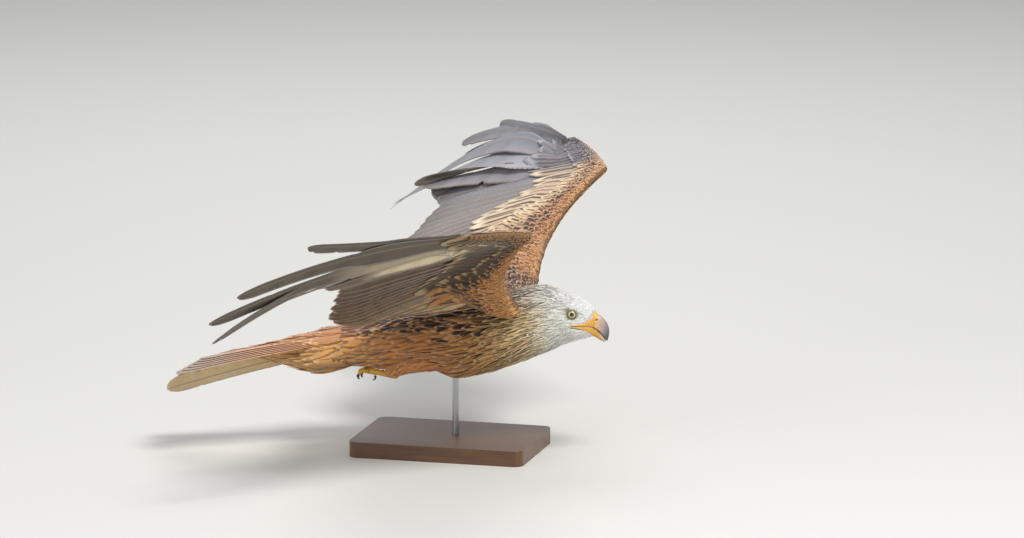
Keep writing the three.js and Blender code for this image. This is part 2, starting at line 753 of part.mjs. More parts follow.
const nostril = solidOf(
  new THREE.CylinderGeometry(1.5, 1.5, 40, 8).scale(1.5, 1, 0.8).rotateY(radians(-25)).translate(211.2, 0, 27),
);
let upperBill = billHalf(UPPER_BILL, 12).subtract(nostril).subtract(headClear);
let lowerBill = billHalf(LOWER_BILL, 9).subtract(headClear);
for (const lip of lips(LIPS.upper)) upperBill = upperBill.add(lip);
for (const lip of lips(LIPS.lower)) lowerBill = lowerBill.add(lip);

// Head: the skull's form with a brow, and a lid round a socket for each eye
const EYE = { x: 180, out: 17.6, z: 36.5 };
const LID = { radius: 7, thick: 1.6, out: 6, turn: 12 };

function eyeBall(side, radius) {
  const ball = new THREE.SphereGeometry(radius, 14, 8).rotateX(Math.PI / 2);
  return solidOf(ball.translate(EYE.x, side * EYE.out, EYE.z));
}

let head = bodyPiece(HEAD);
for (const side of [-1, 1]) {
  const lid = new THREE.TorusGeometry(LID.radius, LID.thick, 6, 14)
    .rotateX(Math.PI / 2)
    .rotateZ(side * radians(-LID.turn))
    .translate(EYE.x + 1, side * (EYE.out + LID.out), EYE.z);
  const brow = limb(
    [
      [165, side * 20, 45, 2.4],
      [174, side * 21.5, 46.6, 3.6],
      [186, side * 20, 43.5, 3.4],
      [197, side * 14, 37, 2],
    ],
    6,
    6,
    0.7,
  );
  head = head.add(solidOf(lid)).add(solidOf(brow)).subtract(eyeBall(side, EYE_RADIUS + GAP));
}
for (const lip of [...lips(LIPS.upper, GAP), ...lips(LIPS.lower, GAP)]) head = head.subtract(lip);

addNode(bird, "torso", bodyPiece(TRUNK), 0xc07a42, 0.85);
addNode(bird, "neck", bodyPiece(NECK), 0xc9ac86, 0.85);
addNode(bird, "head", head, 0xd8d6d2, 0.85);
addNode(bird, "bill_upper", upperBill, 0xe0b040, 0.4);
addNode(bird, "bill_lower", lowerBill, 0xe0b040, 0.4);
for (const [name, side] of Object.entries(LEG_SIDES)) {
  addNode(bird, `eye_${name}`, eyeBall(side, EYE_RADIUS), 0xd9cfa0, 0.1);
}

// Stand: a flat wooden base and one steel rod up to the breast
const BASE = { length: 250, width: 170, thick: 22, corner: 14 };
const ROD = { x: 8, radius: 4.5, sides: 20 };

function plinth({ length, width, thick, corner }) {
  const shape = new THREE.Shape();
  const [a, b] = [length / 2, width / 2];
  shape.moveTo(-a + corner, -b);
  for (const [x, y, turn] of [[a, -b, -90], [a, b, 0], [-a, b, 90], [-a, -b, 180]]) {
    const [cx, cy] = [x - Math.sign(x) * corner, y - Math.sign(y) * corner];
    shape.absarc(cx, cy, corner, radians(turn), radians(turn + 90), false);
  }
  return new THREE.ExtrudeGeometry(shape, { depth: thick, bevelEnabled: false, curveSegments: 6 });
}

const rodLength = FLIGHT_HEIGHT - BASE.thick;
const rod = solidOf(
  new THREE.CylinderGeometry(ROD.radius, ROD.radius, rodLength, ROD.sides)
    .rotateX(Math.PI / 2)
    .translate(ROD.x, 0, BASE.thick + GAP + rodLength / 2),
);
addNode(stand, "stand_base", solidOf(plinth(BASE)), 0x3a2a20, 0.5);
addNode(stand, "stand_rod", rod.subtract(trunkClear.translate([0, 0, FLIGHT_HEIGHT])), 0xb8b8b8, 0.3, 1);

bird.position.z = FLIGHT_HEIGHT;
const kite = new THREE.Group();
kite.add(stand, bird);
export default kite;
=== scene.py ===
"""A red kite with raised wings, as a life-size museum model on a display stand."""
import math

import bpy
import numpy as np
from mathutils import Matrix, Vector
from mathutils.kdtree import KDTree


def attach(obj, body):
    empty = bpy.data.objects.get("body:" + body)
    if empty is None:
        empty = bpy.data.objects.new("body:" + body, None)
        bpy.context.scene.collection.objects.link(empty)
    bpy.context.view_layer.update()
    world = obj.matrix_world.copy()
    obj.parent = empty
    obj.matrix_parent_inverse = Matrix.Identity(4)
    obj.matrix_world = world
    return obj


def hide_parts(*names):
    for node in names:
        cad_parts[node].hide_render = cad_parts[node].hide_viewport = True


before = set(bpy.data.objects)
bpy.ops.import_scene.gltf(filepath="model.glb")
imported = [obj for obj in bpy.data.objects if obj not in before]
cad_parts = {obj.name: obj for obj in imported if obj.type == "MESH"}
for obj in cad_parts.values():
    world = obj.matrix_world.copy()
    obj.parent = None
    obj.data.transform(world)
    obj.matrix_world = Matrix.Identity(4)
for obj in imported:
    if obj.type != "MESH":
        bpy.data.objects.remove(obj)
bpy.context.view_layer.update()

# Camera. The photograph looks at the bird's right side, from a little ahead and above, through a long lens.
# Its place follows from where the middle of the trunk stands in the picture.
AZIMUTH = math.radians(15)
ELEVATION = math.radians(11.5)
DISTANCE = 11.0
PICTURE_WIDTH, PICTURE_HEIGHT = 1024, 538
PIXELS_PER_METRE = 720  # at the bird
TRUNK_PIXEL = (450, 330)
SENSOR = 36.0
FLIGHT_HEIGHT = 0.170  # the trunk's middle over the floor

right = Vector((math.cos(AZIMUTH), math.sin(AZIMUTH), 0))
look = Vector((-right.y, right.x, 0)) * math.cos(ELEVATION) - Vector((0, 0, math.sin(ELEVATION)))
upward = right.cross(look)
aside = (TRUNK_PIXEL[0] - PICTURE_WIDTH / 2) / PIXELS_PER_METRE
below = (TRUNK_PIXEL[1] - PICTURE_HEIGHT / 2) / PIXELS_PER_METRE
camera = bpy.data.objects.new("camera", bpy.data.cameras.new("camera"))
camera.data.sensor_width = SENSOR
camera.data.lens = SENSOR * PIXELS_PER_METRE * DISTANCE / PICTURE_WIDTH
camera.data.clip_end = 100
turned = Matrix((right, upward, -look)).transposed().to_4x4()
stand_point = Vector((0, 0, FLIGHT_HEIGHT)) - look * DISTANCE - right * aside + upward * below
camera.matrix_world = Matrix.Translation(stand_point) @ turned
bpy.context.collection.objects.link(camera)
bpy.context.scene.camera = camera


# Floor and light: a pale matt floor that runs past the view, a large soft lamp high over the bird's right
# shoulder, a weaker one from the left of the camera and a pale surround.
def linear(code):
    """A #rrggbb colour as linear red, green, blue and alpha."""
    shares = [int(code[k : k + 2], 16) / 255 for k in (1, 3, 5)]
    return [c / 12.92 if c <= 0.04045 else ((c + 0.055) / 1.055) ** 2.4 for c in shares] + [1.0]


def add_node(tree, kind, inputs=None, **settings):
    """Adds a node with its settings and gives its outputs. An input, by name or number, is a value or an
    output of another node."""
    node = tree.nodes.new("ShaderNode" + kind)
    for name, value in settings.items():
        setattr(node, name, value)
    for name, value in (inputs or {}).items():
        if isinstance(value, bpy.types.NodeSocket):
            tree.links.new(value, node.inputs[name])
        else:
            node.inputs[name].default_value = value
    return node.outputs


def new_material(name, **shine):
    """A material with one Principled shader and the named shader inputs."""
    material = bpy.data.materials.new(name)
    material.use_nodes = True
    shader = material.node_tree.nodes["Principled BSDF"]
    for socket, value in shine.items():
        shader.inputs[socket.replace("_", " ")].default_value = value
    return material, material.node_tree, shader


def new_piece(name, points, faces, material):
    """A smooth mesh object at the origin, from points in metres and lists of equal-sided faces."""
    mesh = bpy.data.meshes.new(name)
    faces = [np.asarray(group, int) for group in faces if len(group)]
    corners = np.concatenate([group.ravel() for group in faces])
    sizes = np.concatenate([np.full(len(group), group.shape[1]) for group in faces])
    mesh.vertices.add(len(points))
    mesh.vertices.foreach_set("co", np.asarray(points, np.float32).ravel())
    mesh.loops.add(len(corners))
    mesh.loops.foreach_set("vertex_index", corners.astype(np.int32))
    mesh.polygons.add(len(sizes))
    mesh.polygons.foreach_set("loop_start", (np.cumsum(sizes) - sizes).astype(np.int32))
    mesh.update(calc_edges=True)
    mesh.shade_smooth()
    mesh.materials.append(material)
    piece = bpy.data.objects.new(name, mesh)
    bpy.context.collection.objects.link(piece)
    return piece


FLOOR_HALF = 30.0
matt_floor, tree, shader = new_material("matt_painted_floor", Roughness=0.9)
shader.inputs["Base Color"].default_value = linear("#d9d7d2")
corners = FLOOR_HALF * np.array([[-1, -1, 0], [1, -1, 0], [1, 1, 0], [-1, 1, 0]])
floor = new_piece("floor", corners, [[[0, 1, 2, 3]]], matt_floor)

LAMPS = {
    # place, size, watts
    "key_lamp": ((1.5, -1.6, 3.4), 1.2, 120),
    "fill_lamp": ((-2.6, -3.2, 1.2), 2.6, 40),
    "rim_lamp": ((-0.8, 2.6, 2.8), 1.8, 45),
}
for name, (place, size, power) in LAMPS.items():
    lamp = bpy.data.lights.new(name, "AREA")
    lamp.size = size
    lamp.energy = power
    holder = bpy.data.objects.new(name, lamp)
    holder.location = place
    aim = Vector((0, 0, FLIGHT_HEIGHT + 0.05)) - holder.location
    holder.rotation_euler = aim.to_track_quat("-Z", "Y").to_euler()
    bpy.context.collection.objects.link(holder)
world = bpy.data.worlds.new("surround")
world.use_nodes = True
world.node_tree.nodes["Background"].inputs["Color"].default_value = linear("#e6eaee")
world.node_tree.nodes["Background"].inputs["Strength"].default_value = 0.5
bpy.context.scene.world = world
bpy.context.scene.view_settings.view_transform = "Standard"

# The trunk, neck and head are one form of flesh, in millimetres from the trunk's middle. Along x it has the
# height of the back, of the widest line and of the belly, and the half width. Ahead is +x, the left is +y.
MM = 0.001
BODY_ROWS = [
    [-178, -5, -29, -60, 27], [-145, 0, -26, -56, 37], [-100, 12, -22, -58, 44], [-50, 27, -13, -57, 49],
    [-20, 35, -8, -57, 52], [14, 43, -3, -66, 54], [43, 50, 4, -60, 54], [86, 61, 15, -46, 50],
    [122, 71, 22, -31, 40], [145, 70, 25, -21, 32], [160, 64, 28, -13, 28], [172, 60, 31, -8, 26],
    [183, 57, 32, -4, 24], [194, 51, 30, -1, 19], [203, 44, 26, 2, 13], [208, 38, 23, 6, 9.5],
]
BODY_BACK, BODY_FRONT = -178, 208
SQUARENESS = 2.15  # the sections are slightly squarer than ellipses
SWAY_FROM, SWAY_CURVE = -90, 0.0016  # the rump bends to the right
EYE = {"x": 180, "out": 17.6, "z": 36.5, "radius": 8.6}
HEAD_FROM = 155  # the head's own forms begin there
BROW_ROWS = [[160, 45.5], [174, 46.4], [186, 43.5], [198, 36]]  # along x, its height
BROW_OUT, BROW_HIGH = 2.6, 3.4
SOCKET_DEEP, SOCKET_WIDE = 2.4, 7.5
LORE = {"x": 193, "z": 31, "long": 6, "high": 6, "out": -1.3}  # the hollow between eye and bill
CHEEK = {"x": 170, "z": 20, "long": 10, "high": 8, "out": 1.2}


def through(rows):
    """A smooth curve through rows of [place, value, ...]. Between two rows it is the cubic whose slope at
    each is that of the chord between its neighbours, and beyond the ends it stays."""
    rows = np.array(rows, float)
    places, values = rows[:, 0], rows[:, 1:]
    row = np.arange(len(rows))
    before, after = np.maximum(row - 1, 0), np.minimum(row + 1, len(rows) - 1)
    slopes = (values[after] - values[before]) / (places[after] - places[before])[:, None]

    def at(place):
        k = np.clip(np.searchsorted(places, place) - 1, 0, len(rows) - 2)
        span = places[k + 1] - places[k]
        t = np.clip((place - places[k]) / span, 0, 1)[..., None]
        span = span[..., None]
        rise = 3 * t**2 - 2 * t**3
        bend = slopes[k] * (t**3 - 2 * t**2 + t) + slopes[k + 1] * (t**3 - t**2)
        return values[k] * (1 - rise) + values[k + 1] * rise + span * bend

    return at


def smooth(x, low, high):
    """0 below low, 1 above high and an S between them."""
    t = np.clip((x - low) / (high - low), 0, 1)
    return t * t * (3 - 2 * t)


body_line, brow_line = through(BODY_ROWS), through(BROW_ROWS)


def head_relief(x, z):
    """How far the head stands out at x and z of its side: a ridge along the brow, a hollow round the eye and
    before it, and a full cheek, each a bell curve of the distance."""
    brow = BROW_OUT * np.exp(-(((z - brow_line(x)[..., 0]) / BROW_HIGH) ** 2))
    brow = brow * smooth(x, 163, 172) * (1 - smooth(x, 194, 200))
    from_eye = np.hypot(x - EYE["x"], z - EYE["z"])
    relief = brow - SOCKET_DEEP * np.exp(-((from_eye / SOCKET_WIDE) ** 4))
    for form in (LORE, CHEEK):
        bell = np.exp(-(((x - form["x"]) / form["long"]) ** 2) - ((z - form["z"]) / form["high"]) ** 2)
        relief = relief + form["out"] * bell
    return relief


def body_form(x, turn, swell=0.0):
    """The body's surface at x and a turn round it, 0 at the left side and a quarter at the top: a
    superellipse whose height and width are those of the rows, larger all over by swell."""
    top, middle, bottom, half = np.moveaxis(body_line(x), -1, 0)
    c, s = np.cos(turn), np.sin(turn)
    reach = (np.abs(c) ** SQUARENESS + np.abs(s) ** SQUARENESS) ** (-1 / SQUARENESS)
    height = np.where(s > 0, top - middle, middle - bottom)
    swell = swell + np.where(x > HEAD_FROM, head_relief(x, middle + reach * s * height), 0)
    sway = -SWAY_CURVE * np.maximum(SWAY_FROM - x, 0) ** 2
    return np.stack([x, sway + reach * c * (half + swell), middle + reach * s * (height + swell)], -1)


# How deep the coat is over the skin: thick on the breast and belly, thinning to almost nothing at the bill.
coat_depth = through(
    [[-178, 4], [-100, 5], [60, 5], [110, 4], [140, 2.6], [165, 1.4], [190, 0.9], [208, 0.6]]
)


# Wings: arms of bone and muscle with the long feathers rooted along them. Points are [ahead, outward, up],
# and feathers are numbered outwards, tertials from 0, secondaries from 4 and primaries from 16. Fingers gives
# a feather's bend forward and arch up, as shares of its length, and the width left past its notch.
HUMERUS, FOREARM = 118, 136
FIRST_SECONDARY, FIRST_PRIMARY, LAST = 4, 16, 25
WINGS = {
    "right": {
        "side": -1,
        "wrist": [154, 180, 177],
        "fingertip": [94, 260, 188],
        "fingers": {
            21: [0.03, 0.01, 0.75], 22: [0.09, 0.045, 0.75], 23: [0.045, 0.01, 0.68],
            24: [0.045, 0.01, 0.68], 25: [-0.03, 0.01, 0.68],
        },
        "tips": [
            [0, -92, 56, 22], [3, -122, 76, 16], [5, -142, 94, 20], [9, -134, 140, 44], [12, -114, 190, 72],
            [15, -97, 240, 99], [17, -99, 288, 106], [20, -100, 340, 118], [21, -131, 405, 111],
            [22, -197, 479, 69], [23, -192, 509, 102], [24, -142, 542, 148], [25, -54, 508, 213],
        ],
    },
    "left": {
        "side": 1,
        "wrist": [170, 160, 206],
        "fingertip": [112, 226, 234],
        "fingers": {
            19: [0.02, 0.02, 1], 20: [0.05, 0.035, 1], 21: [0.1, 0.045, 1], 22: [0.15, 0.06, 0.95],
            23: [0.07, 0.01, 0.75], 24: [0.06, 0.01, 0.68], 25: [0.01, 0.01, 0.68],
        },
        "tips": [
            [0, -92, 54, 26], [3, -122, 74, 28], [5, -134, 92, 40], [9, -118, 138, 80], [12, -98, 186, 106],
            [15, -84, 234, 128], [17, -104, 288, 137], [20, -136, 322, 137], [22, -205, 432, 82],
            [23, -112, 500, 155], [24, -123, 523, 168], [25, -56, 479, 206],
        ],
    },
}
SHOULDER = [92, 38, 40]
PATAGIUM_SAG = 26  # the skin before the elbow bows in this far
HAND_EDGE = (13, 8)  # how far the leading edge lies before the bones, at the wrist and at the fingertip
HAND_BOW = 4  # the hand's leading edge bows out this far
INTO_TRUNK = 30
CORE_ROWS = [
    # number along the wing, greatest thickness, thickness at the rear, depth behind the quills' roots
    [-3, 34, 12, 34], [0, 30, 11, 40], [4, 25, 11, 46], [10, 21, 11, 48], [15, 18, 11, 52],
    [18, 15, 10, 58], [22, 11, 8, 62], [24, 8, 6.5, 46], [25, 4, 3.5, 20],
]
WING_DEPTH = 1.6  # of the coverts over the wing's flesh
VANE_STACK = 2.6  # half the thickness of the overlapping flight feathers
core_line = through(CORE_ROWS)
CAMBER = 0.01  # a flight feather arches up by this share of its length
SUNK = 11  # how far inside the flesh a long feather starts


def unit(v):
    return v / np.linalg.norm(v, axis=-1, keepdims=True)


def square_to(v, line):
    """The part of v that is square to a line, at length 1."""
    return unit(v - line * np.sum(v * line, -1, keepdims=True) / np.sum(line * line, -1, keepdims=True))


def mix(a, b, t):
    return a + (b - a) * t


class Wing:
    """One wing's joints, quill roots, feather tips and surfaces, for any feather number k."""

    def __init__(self, side, wrist, fingertip, fingers, tips):
        self.side = side
        self.fingers = through([[k, *fingers.get(k, (0, CAMBER, 1))] for k in range(LAST + 1)])
        self.shoulder, self.wrist, self.end = (
            np.array(point) * [1, side, 1] for point in (SHOULDER, wrist, fingertip)
        )
        reach = self.wrist - self.shoulder
        length = np.linalg.norm(reach)
        along = (HUMERUS**2 - FOREARM**2 + length**2) / (2 * length)
        back = square_to(np.array([-1, 0, -0.1]), reach)
        self.elbow = self.shoulder + reach / length * along + back * math.sqrt(HUMERUS**2 - along**2)
        self.tip = through([[k, x, side * y, z] for k, x, y, z in tips])
        self.root_places = np.array(
            [-1, FIRST_SECONDARY - 0.5, FIRST_PRIMARY - 0.8, FIRST_PRIMARY + 0.4, LAST]
        )
        upper_arm, forearm_end = mix(self.shoulder, self.elbow, 0.25), mix(self.wrist, self.elbow, 0.06)
        hand_start = mix(self.wrist, self.end, 0.08)
        self.root_points = np.array([upper_arm, self.elbow, forearm_end, hand_start, self.end])

    def root(self, k):
        """The quills' roots, on straight lines along the upper arm, the forearm and the hand."""
        return np.stack([np.interp(k, self.root_places, self.root_points[:, c]) for c in range(3)], -1)

    def apart(self, k, t):
        """From one feather to the next, square to them, at the share t of their length."""
        before, after = np.maximum(k - 2, 0), np.minimum(k + 2, LAST)
        far = mix(self.root(after), self.tip(after), t[..., None])
        near = mix(self.root(before), self.tip(before), t[..., None])
        gap = far - near
        line = unit(self.tip(k) - self.root(k))
        return (gap - line * np.sum(gap * line, -1, keepdims=True)) / (after - before)[..., None]

    def up(self, k, t):
        """Out of the wing's upper side."""
        line = unit(self.tip(k) - self.root(k))
        return unit(np.cross(line, self.apart(k, t))) * -self.side

    def front(self, k):
        """The leading edge: the bowed patagium from the shoulder to the wrist, then down the hand."""
        hand = unit(self.end - self.wrist)
        ahead = unit(np.cross(self.up(np.array(FIRST_PRIMARY + 4.0), np.array(0.2)), hand)) * -self.side
        start = self.shoulder + np.array([20, self.side * 12, 5])
        knob = self.wrist + np.array([11, self.side * 2, 1]) + ahead * 3
        joint = FIRST_PRIMARY - 0.5
        p = np.clip(k / joint, 0, 1)[..., None]
        sag = unit(self.elbow - mix(start, knob, 0.5)) * PATAGIUM_SAG * 4 * p * (1 - p)
        q = np.clip((k - joint) / (LAST - joint), 0, 1)[..., None]
        along = mix(self.wrist, self.end, q) + ahead * (mix(*HAND_EDGE, q) + HAND_BOW * 4 * q * (1 - q))
        return np.where(
            k[..., None] <= joint, mix(start, knob, p) + sag, mix(knob, along, smooth(q, 0, 0.25))
        )

    def chord(self, k):
        """The flesh's front and rear edges, and its depth behind the quills' roots."""
        inner = np.maximum(k, 0)
        share = (np.minimum(k, 0) / -3)[..., None]
        inward = share * np.array([-8, -self.side * INTO_TRUNK, -10])
        behind = core_line(k)[..., 2]
        line = unit(self.tip(inner) - self.root(inner))
        return self.front(inner) + inward, self.root(inner) + line * behind[..., None] + inward, behind

    def depth(self, k):
        """How far the flesh reaches from its front to its rear edge."""
        front, rear, _ = self.chord(k)
        return np.linalg.norm(rear - front, axis=-1)

    def surface(self, s, k, face, under=WING_DEPTH):
        """The wing's upper (face 1) or lower (face -1) skin at s millimetres behind the leading edge. It goes
        straight over the flesh to its rear edge and then along the feathers, and stands off that middle plane
        by half the thickness there."""
        inner = np.clip(k, 0, LAST)
        front, rear, behind = self.chord(k)
        depth = np.linalg.norm(rear - front, axis=-1)
        root, tip = self.root(inner), self.tip(inner)
        length = np.linalg.norm(tip - root, axis=-1)
        line = unit(tip - root)
        beyond = np.maximum(s - depth, 0)
        t = np.clip((behind + s - depth) / length, 0, 1.1)
        share = np.clip(s / depth, 0, 1)
        middle = mix(front, rear, share[..., None]) + line * beyond[..., None]
        course = np.where((s < depth)[..., None], rear - front, line)
        normal = square_to(self.up(inner, np.clip(t, 0.15, 1)), course)
        start = np.maximum(behind - SUNK, 2) / length
        visible = np.clip((t - start) / (1 - start), 0, 1) * (s > depth - SUNK)
        arch = (4 * visible * (1 - visible) * length)[..., None]
        sweep, camber, _ = np.moveaxis(self.fingers(inner)[..., None], -2, 0)
        middle = middle + (normal * camber + np.cross(line, normal) * self.side * sweep) * arch
        thick, rear_thick = core_line(k)[..., 0], core_line(k)[..., 1]
        round_front = thick * np.sqrt(np.sin(np.pi * share**0.62))
        half = mix(round_front, rear_thick, smooth(share, 0.5, 0.97)) / 2
        half = mix(half, np.minimum(VANE_STACK + under, half), smooth(beyond, 0, 30)) - under
        return middle + normal * (face * np.maximum(half, 0.4))[..., None]


wings = {name: Wing(**pose) for name, pose in WINGS.items()}

# The tail's root, turned and rolled to steer: points in it are [back, left, up]. The coverts over and under
# its base lie on a blunt wedge given by rings: back, half width, top and bottom.
TAIL_ROOT = np.array([-145, -5, -10])
TAIL_YAW, TAIL_PITCH, TAIL_ROLL, TAIL_DROOP = np.radians([22, 8.5, 23, 21])
TAIL_BASE = [
    [8, 30, 12, -50], [16, 29, 11, -50], [50, 27, 8, -48], [88, 21, 5, -32], [122, 12, 2, -15],
    [160, 5, 1, -7],
]
c, s = np.cos([TAIL_YAW, TAIL_PITCH, TAIL_ROLL]), np.sin([TAIL_YAW, TAIL_PITCH, TAIL_ROLL])
yawed = np.array([[c[0], -s[0], 0], [s[0], c[0], 0], [0, 0, 1]])
pitched = np.array([[c[1], 0, -s[1]], [0, 1, 0], [s[1], 0, c[1]]])
rolled = np.array([[1, 0, 0], [0, c[2], s[2]], [0, -s[2], c[2]]])
TAIL_TURN = yawed @ pitched @ rolled
tail_base_line = through(TAIL_BASE)


def tail_point(back, left, up):
    return np.stack(np.broadcast_arrays(-back, left, up), -1) @ TAIL_TURN.T + TAIL_ROOT


def tail_base(back, turn, swell=0.0):
    """The wedge's surface: an ellipse at each distance back, larger all over by swell."""
    half, top, bottom = np.moveaxis(tail_base_line(back), -1, 0)
    height = (top - bottom) / 2
    return tail_point(
        back, (half + swell) * np.cos(turn), (top + bottom) / 2 + (height + swell) * np.sin(turn)
    )


# Thighs: muscle close along the belly, down to the ankles where the bare feet begin
THIGH_ROWS = [
    # along the thigh, x, y, z, radius
    [0, 14, 22, -35, 14], [1, -16, 25, -37, 17], [2, -50, 25, -44, 14], [3, -74, 23, -56, 9],
    [4, -84, 22, -62, 6],
]
thigh_line = through(THIGH_ROWS)
SIDES = {"right": -1, "left": 1}


def tube(path, t, turn):
    """The surface of a round limb: path(t) gives x, y, z and the radius of a ring turned to the left."""
    near, here, far = path(t - 0.01), path(t), path(t + 0.01)
    along = far[..., :3] - near[..., :3]
    side = square_to(np.array([0.0, 1.0, 0.0]), along)
    lift = np.cross(side, unit(along))
    c, s = np.cos(turn)[..., None], np.sin(turn)[..., None]
    return here[..., :3] + (side * c + lift * s) * here[..., 3:4]


def grid_faces(rows, columns, around=True):
    """Quads over a grid of points, closed round its columns."""
    r, c = np.meshgrid(np.arange(rows - 1), np.arange(columns if around else columns - 1), indexing="ij")
    a, b = r * columns + c, r * columns + (c + 1) % columns
    return np.stack([a, b, b + columns, a + columns], -1).reshape(-1, 4)


def end_caps(rows, columns):
    """A polygon over each end of a closed grid."""
    first = np.arange(columns)
    return np.stack([first[::-1], first + (rows - 1) * columns])


def lift_up(points):
    """The bird's millimetres to metres over the floor."""
    return np.asarray(points) * MM + np.array([0, 0, FLIGHT_HEIGHT])


# Markings. Skin and coat take their colours from the same functions: pale grey on the head, buff on the neck,
# sandy to orange-brown underneath, dark with rusty edges on the back and paler again at the vent.
def paint(code):
    """A #rrggbb colour as linear red, green and blue."""
    return np.array(linear(code)[:3])


def along(stops, place):
    """Colours blended in a line between [place, "#rrggbb"] stops."""
    places = [stop[0] for stop in stops]
    shades = np.array([paint(stop[1]) for stop in stops])
    return np.stack([np.interp(place, places, shades[:, c]) for c in range(3)], -1)


def level(stops, place):
    """A number blended in a line between [place, value] stops."""
    return np.interp(place, [stop[0] for stop in stops], [stop[1] for stop in stops])


UNDER_GROUND = [
    [-178, "#cf9c64"], [-120, "#c68d50"], [-60, "#b8783c"], [20, "#ae6e34"], [70, "#b07a3e"],
    [100, "#b48e52"], [128, "#c8aa74"], [146, "#d3c4a2"], [162, "#d3d2c8"], [208, "#e2e2de"],
]
UPPER_GROUND = [
    [-178, "#c98a5e"], [-145, "#c08054"], [-110, "#9b5f3b"], [-60, "#6d4936"], [40, "#60463a"],
    [95, "#7d6048"], [125, "#b3a088"], [150, "#cfcac0"], [170, "#dad8d4"], [208, "#e8e7e4"],
]
MARKS = [
    [-178, "#8a5a34"], [-60, "#2e1c12"], [70, "#24160e"], [120, "#2c2018"], [150, "#453a33"],
    [172, "#645b56"], [190, "#8d8782"], [208, "#a8a4a0"],
]
UNDER_RIM = [
    [-178, "#dcb47c"], [0, "#b87b42"], [90, "#c39a60"], [130, "#dcc8a0"], [160, "#ecebe6"], [208, "#f4f4f2"]
]
UPPER_RIM = [[-178, "#d39a68"], [40, "#a9774c"], [110, "#c8ab85"], [150, "#e8e3da"], [208, "#f4f3f0"]]
UNDER_STREAK = [
    [-178, 0], [-110, 0.05], [-60, 0.16], [20, 0.2], [70, 0.26], [110, 0.3], [140, 0.25], [160, 0.12],
    [175, 0.04], [205, 0.0],
]
UPPER_STREAK = [
    [-178, 0.05], [-145, 0.1], [-100, 0.4], [-20, 0.64], [60, 0.66], [100, 0.5], [130, 0.38], [150, 0.3],
    [165, 0.24], [190, 0.13], [205, 0.05],
]
MARKED_SHARE = [
    [-178, 0.1], [-60, 0.13], [20, 0.18], [70, 0.36], [100, 0.6], [125, 0.7], [145, 0.6], [165, 0.5],
    [208, 0.3],
]
BACK_FROM = 0.55  # the back is where the surface's turn has a larger sine than this
BLOTCH_SHARE, BLOTCH_STREAK = 0.5, 0.7  # the flank's feathers with a dark blotch, and its width
FLANK_HEIGHT, FLANK_HALF = 19, 11


def body_markings(x, turn):
    """The ground, mark and edge colours at a place on the body, and how wide its feather's dark streak is."""
    height = np.sin(turn)
    upper = smooth(height, 0.3, 0.75)
    ground = mix(along(UNDER_GROUND, x), along(UPPER_GROUND, x), upper[..., None])
    rim = mix(along(UNDER_RIM, x), along(UPPER_RIM, x), upper[..., None])
    streak = mix(level(UNDER_STREAK, x), level(UPPER_STREAK, x), upper)
    return ground, along(MARKS, x), rim, streak


# The skin is one closed surface under the whole coat, so that no seam shows: body, thighs, the flesh of both
# wings and the tail's base are fused, and it lies below the feathers by the coat's depth.
def body_skin(x, turn):
    return body_form(x, turn, -coat_depth(x)[..., 0])


COAT = 2.5  # the depth of the feathers over the thighs and over the tail's base


def thigh_skin(side):
    def skin(place, turn):
        return tube(
            lambda t: thigh_line(t) * np.array([1, side, 1, 1]) - np.array([0, 0, 0, COAT]), place, turn
        )

    return skin


def wing_flesh(wing, place, around):
    """A loop over the wing's section: around runs 0 to 1 back over it and 1 to 2 forward under it."""
    share = np.where(around <= 1, around, 2 - around)
    back = (1 - np.cos(np.pi * share)) / 2
    s = back * wing.depth(place)
    return np.where((around <= 1)[..., None], wing.surface(s, place, 1), wing.surface(s, place, -1))


FULL_TURN = 2 * np.pi


def loop_grid(surface, places, sides, whole=FULL_TURN):
    """Points of a closed surface: one ring of sides points at each place."""
    p, q = np.meshgrid(places, np.arange(sides) / sides * whole, indexing="ij")
    return surface(p, q), p, q


THIGH_SHADE, WING_SHADE, TAIL_SHADE = paint("#a9774c"), paint("#9a7454"), paint("#c58c5c")
forms = []
body_points, x, turn = loop_grid(body_skin, np.linspace(BODY_BACK, BODY_FRONT - 0.5, 120), 90)
forms.append((body_points, body_markings(x, turn)[0]))
for side in SIDES.values():
    thigh_points = loop_grid(thigh_skin(side), np.linspace(0, 3.7, 24), 24)[0]
    forms.append((thigh_points, np.broadcast_to(THIGH_SHADE, thigh_points.shape)))
for wing in wings.values():
    flesh = loop_grid(lambda p, q, w=wing: wing_flesh(w, p, q), np.linspace(-3, 25.3, 90), 36, 2.0)[0]
    forms.append((flesh, np.broadcast_to(WING_SHADE, flesh.shape)))
base_points = loop_grid(lambda p, q: tail_base(p, q, -COAT), np.linspace(8, 150, 30), 30)[0]
forms.append((base_points, np.broadcast_to(TAIL_SHADE, base_points.shape)))


def finish(tree, shader, colour, light=None, height=None, strength=0.0, distance=0.0):
    """Gives the shader its colour, darker or lighter by light, and a bump from a height."""
    if light is not None:
        colour = add_node(
            tree, "Mix", {0: 1.0, 6: colour, 7: light}, data_type="RGBA", blend_type="MULTIPLY"
        )[2]
    tree.links.new(colour, shader.inputs["Base Color"])
    if height is not None:
        raised = add_node(tree, "Bump", {"Height": height, "Strength": strength, "Distance": distance})
        tree.links.new(raised[0], shader.inputs["Normal"])


plumage_skin, tree, shader = new_material("downy_skin", Roughness=0.9)
place = add_node(tree, "TexCoord")["Object"]
mottle = add_node(tree, "TexNoise", {"Vector": place, "Scale": 160.0, "Detail": 3.0})["Fac"]
shade = add_node(tree, "MapRange", {"Value": mottle, "To Min": 0.6, "To Max": 1.0})[0]
finish(tree, shader, add_node(tree, "Attribute", attribute_name="ground")["Color"], shade)

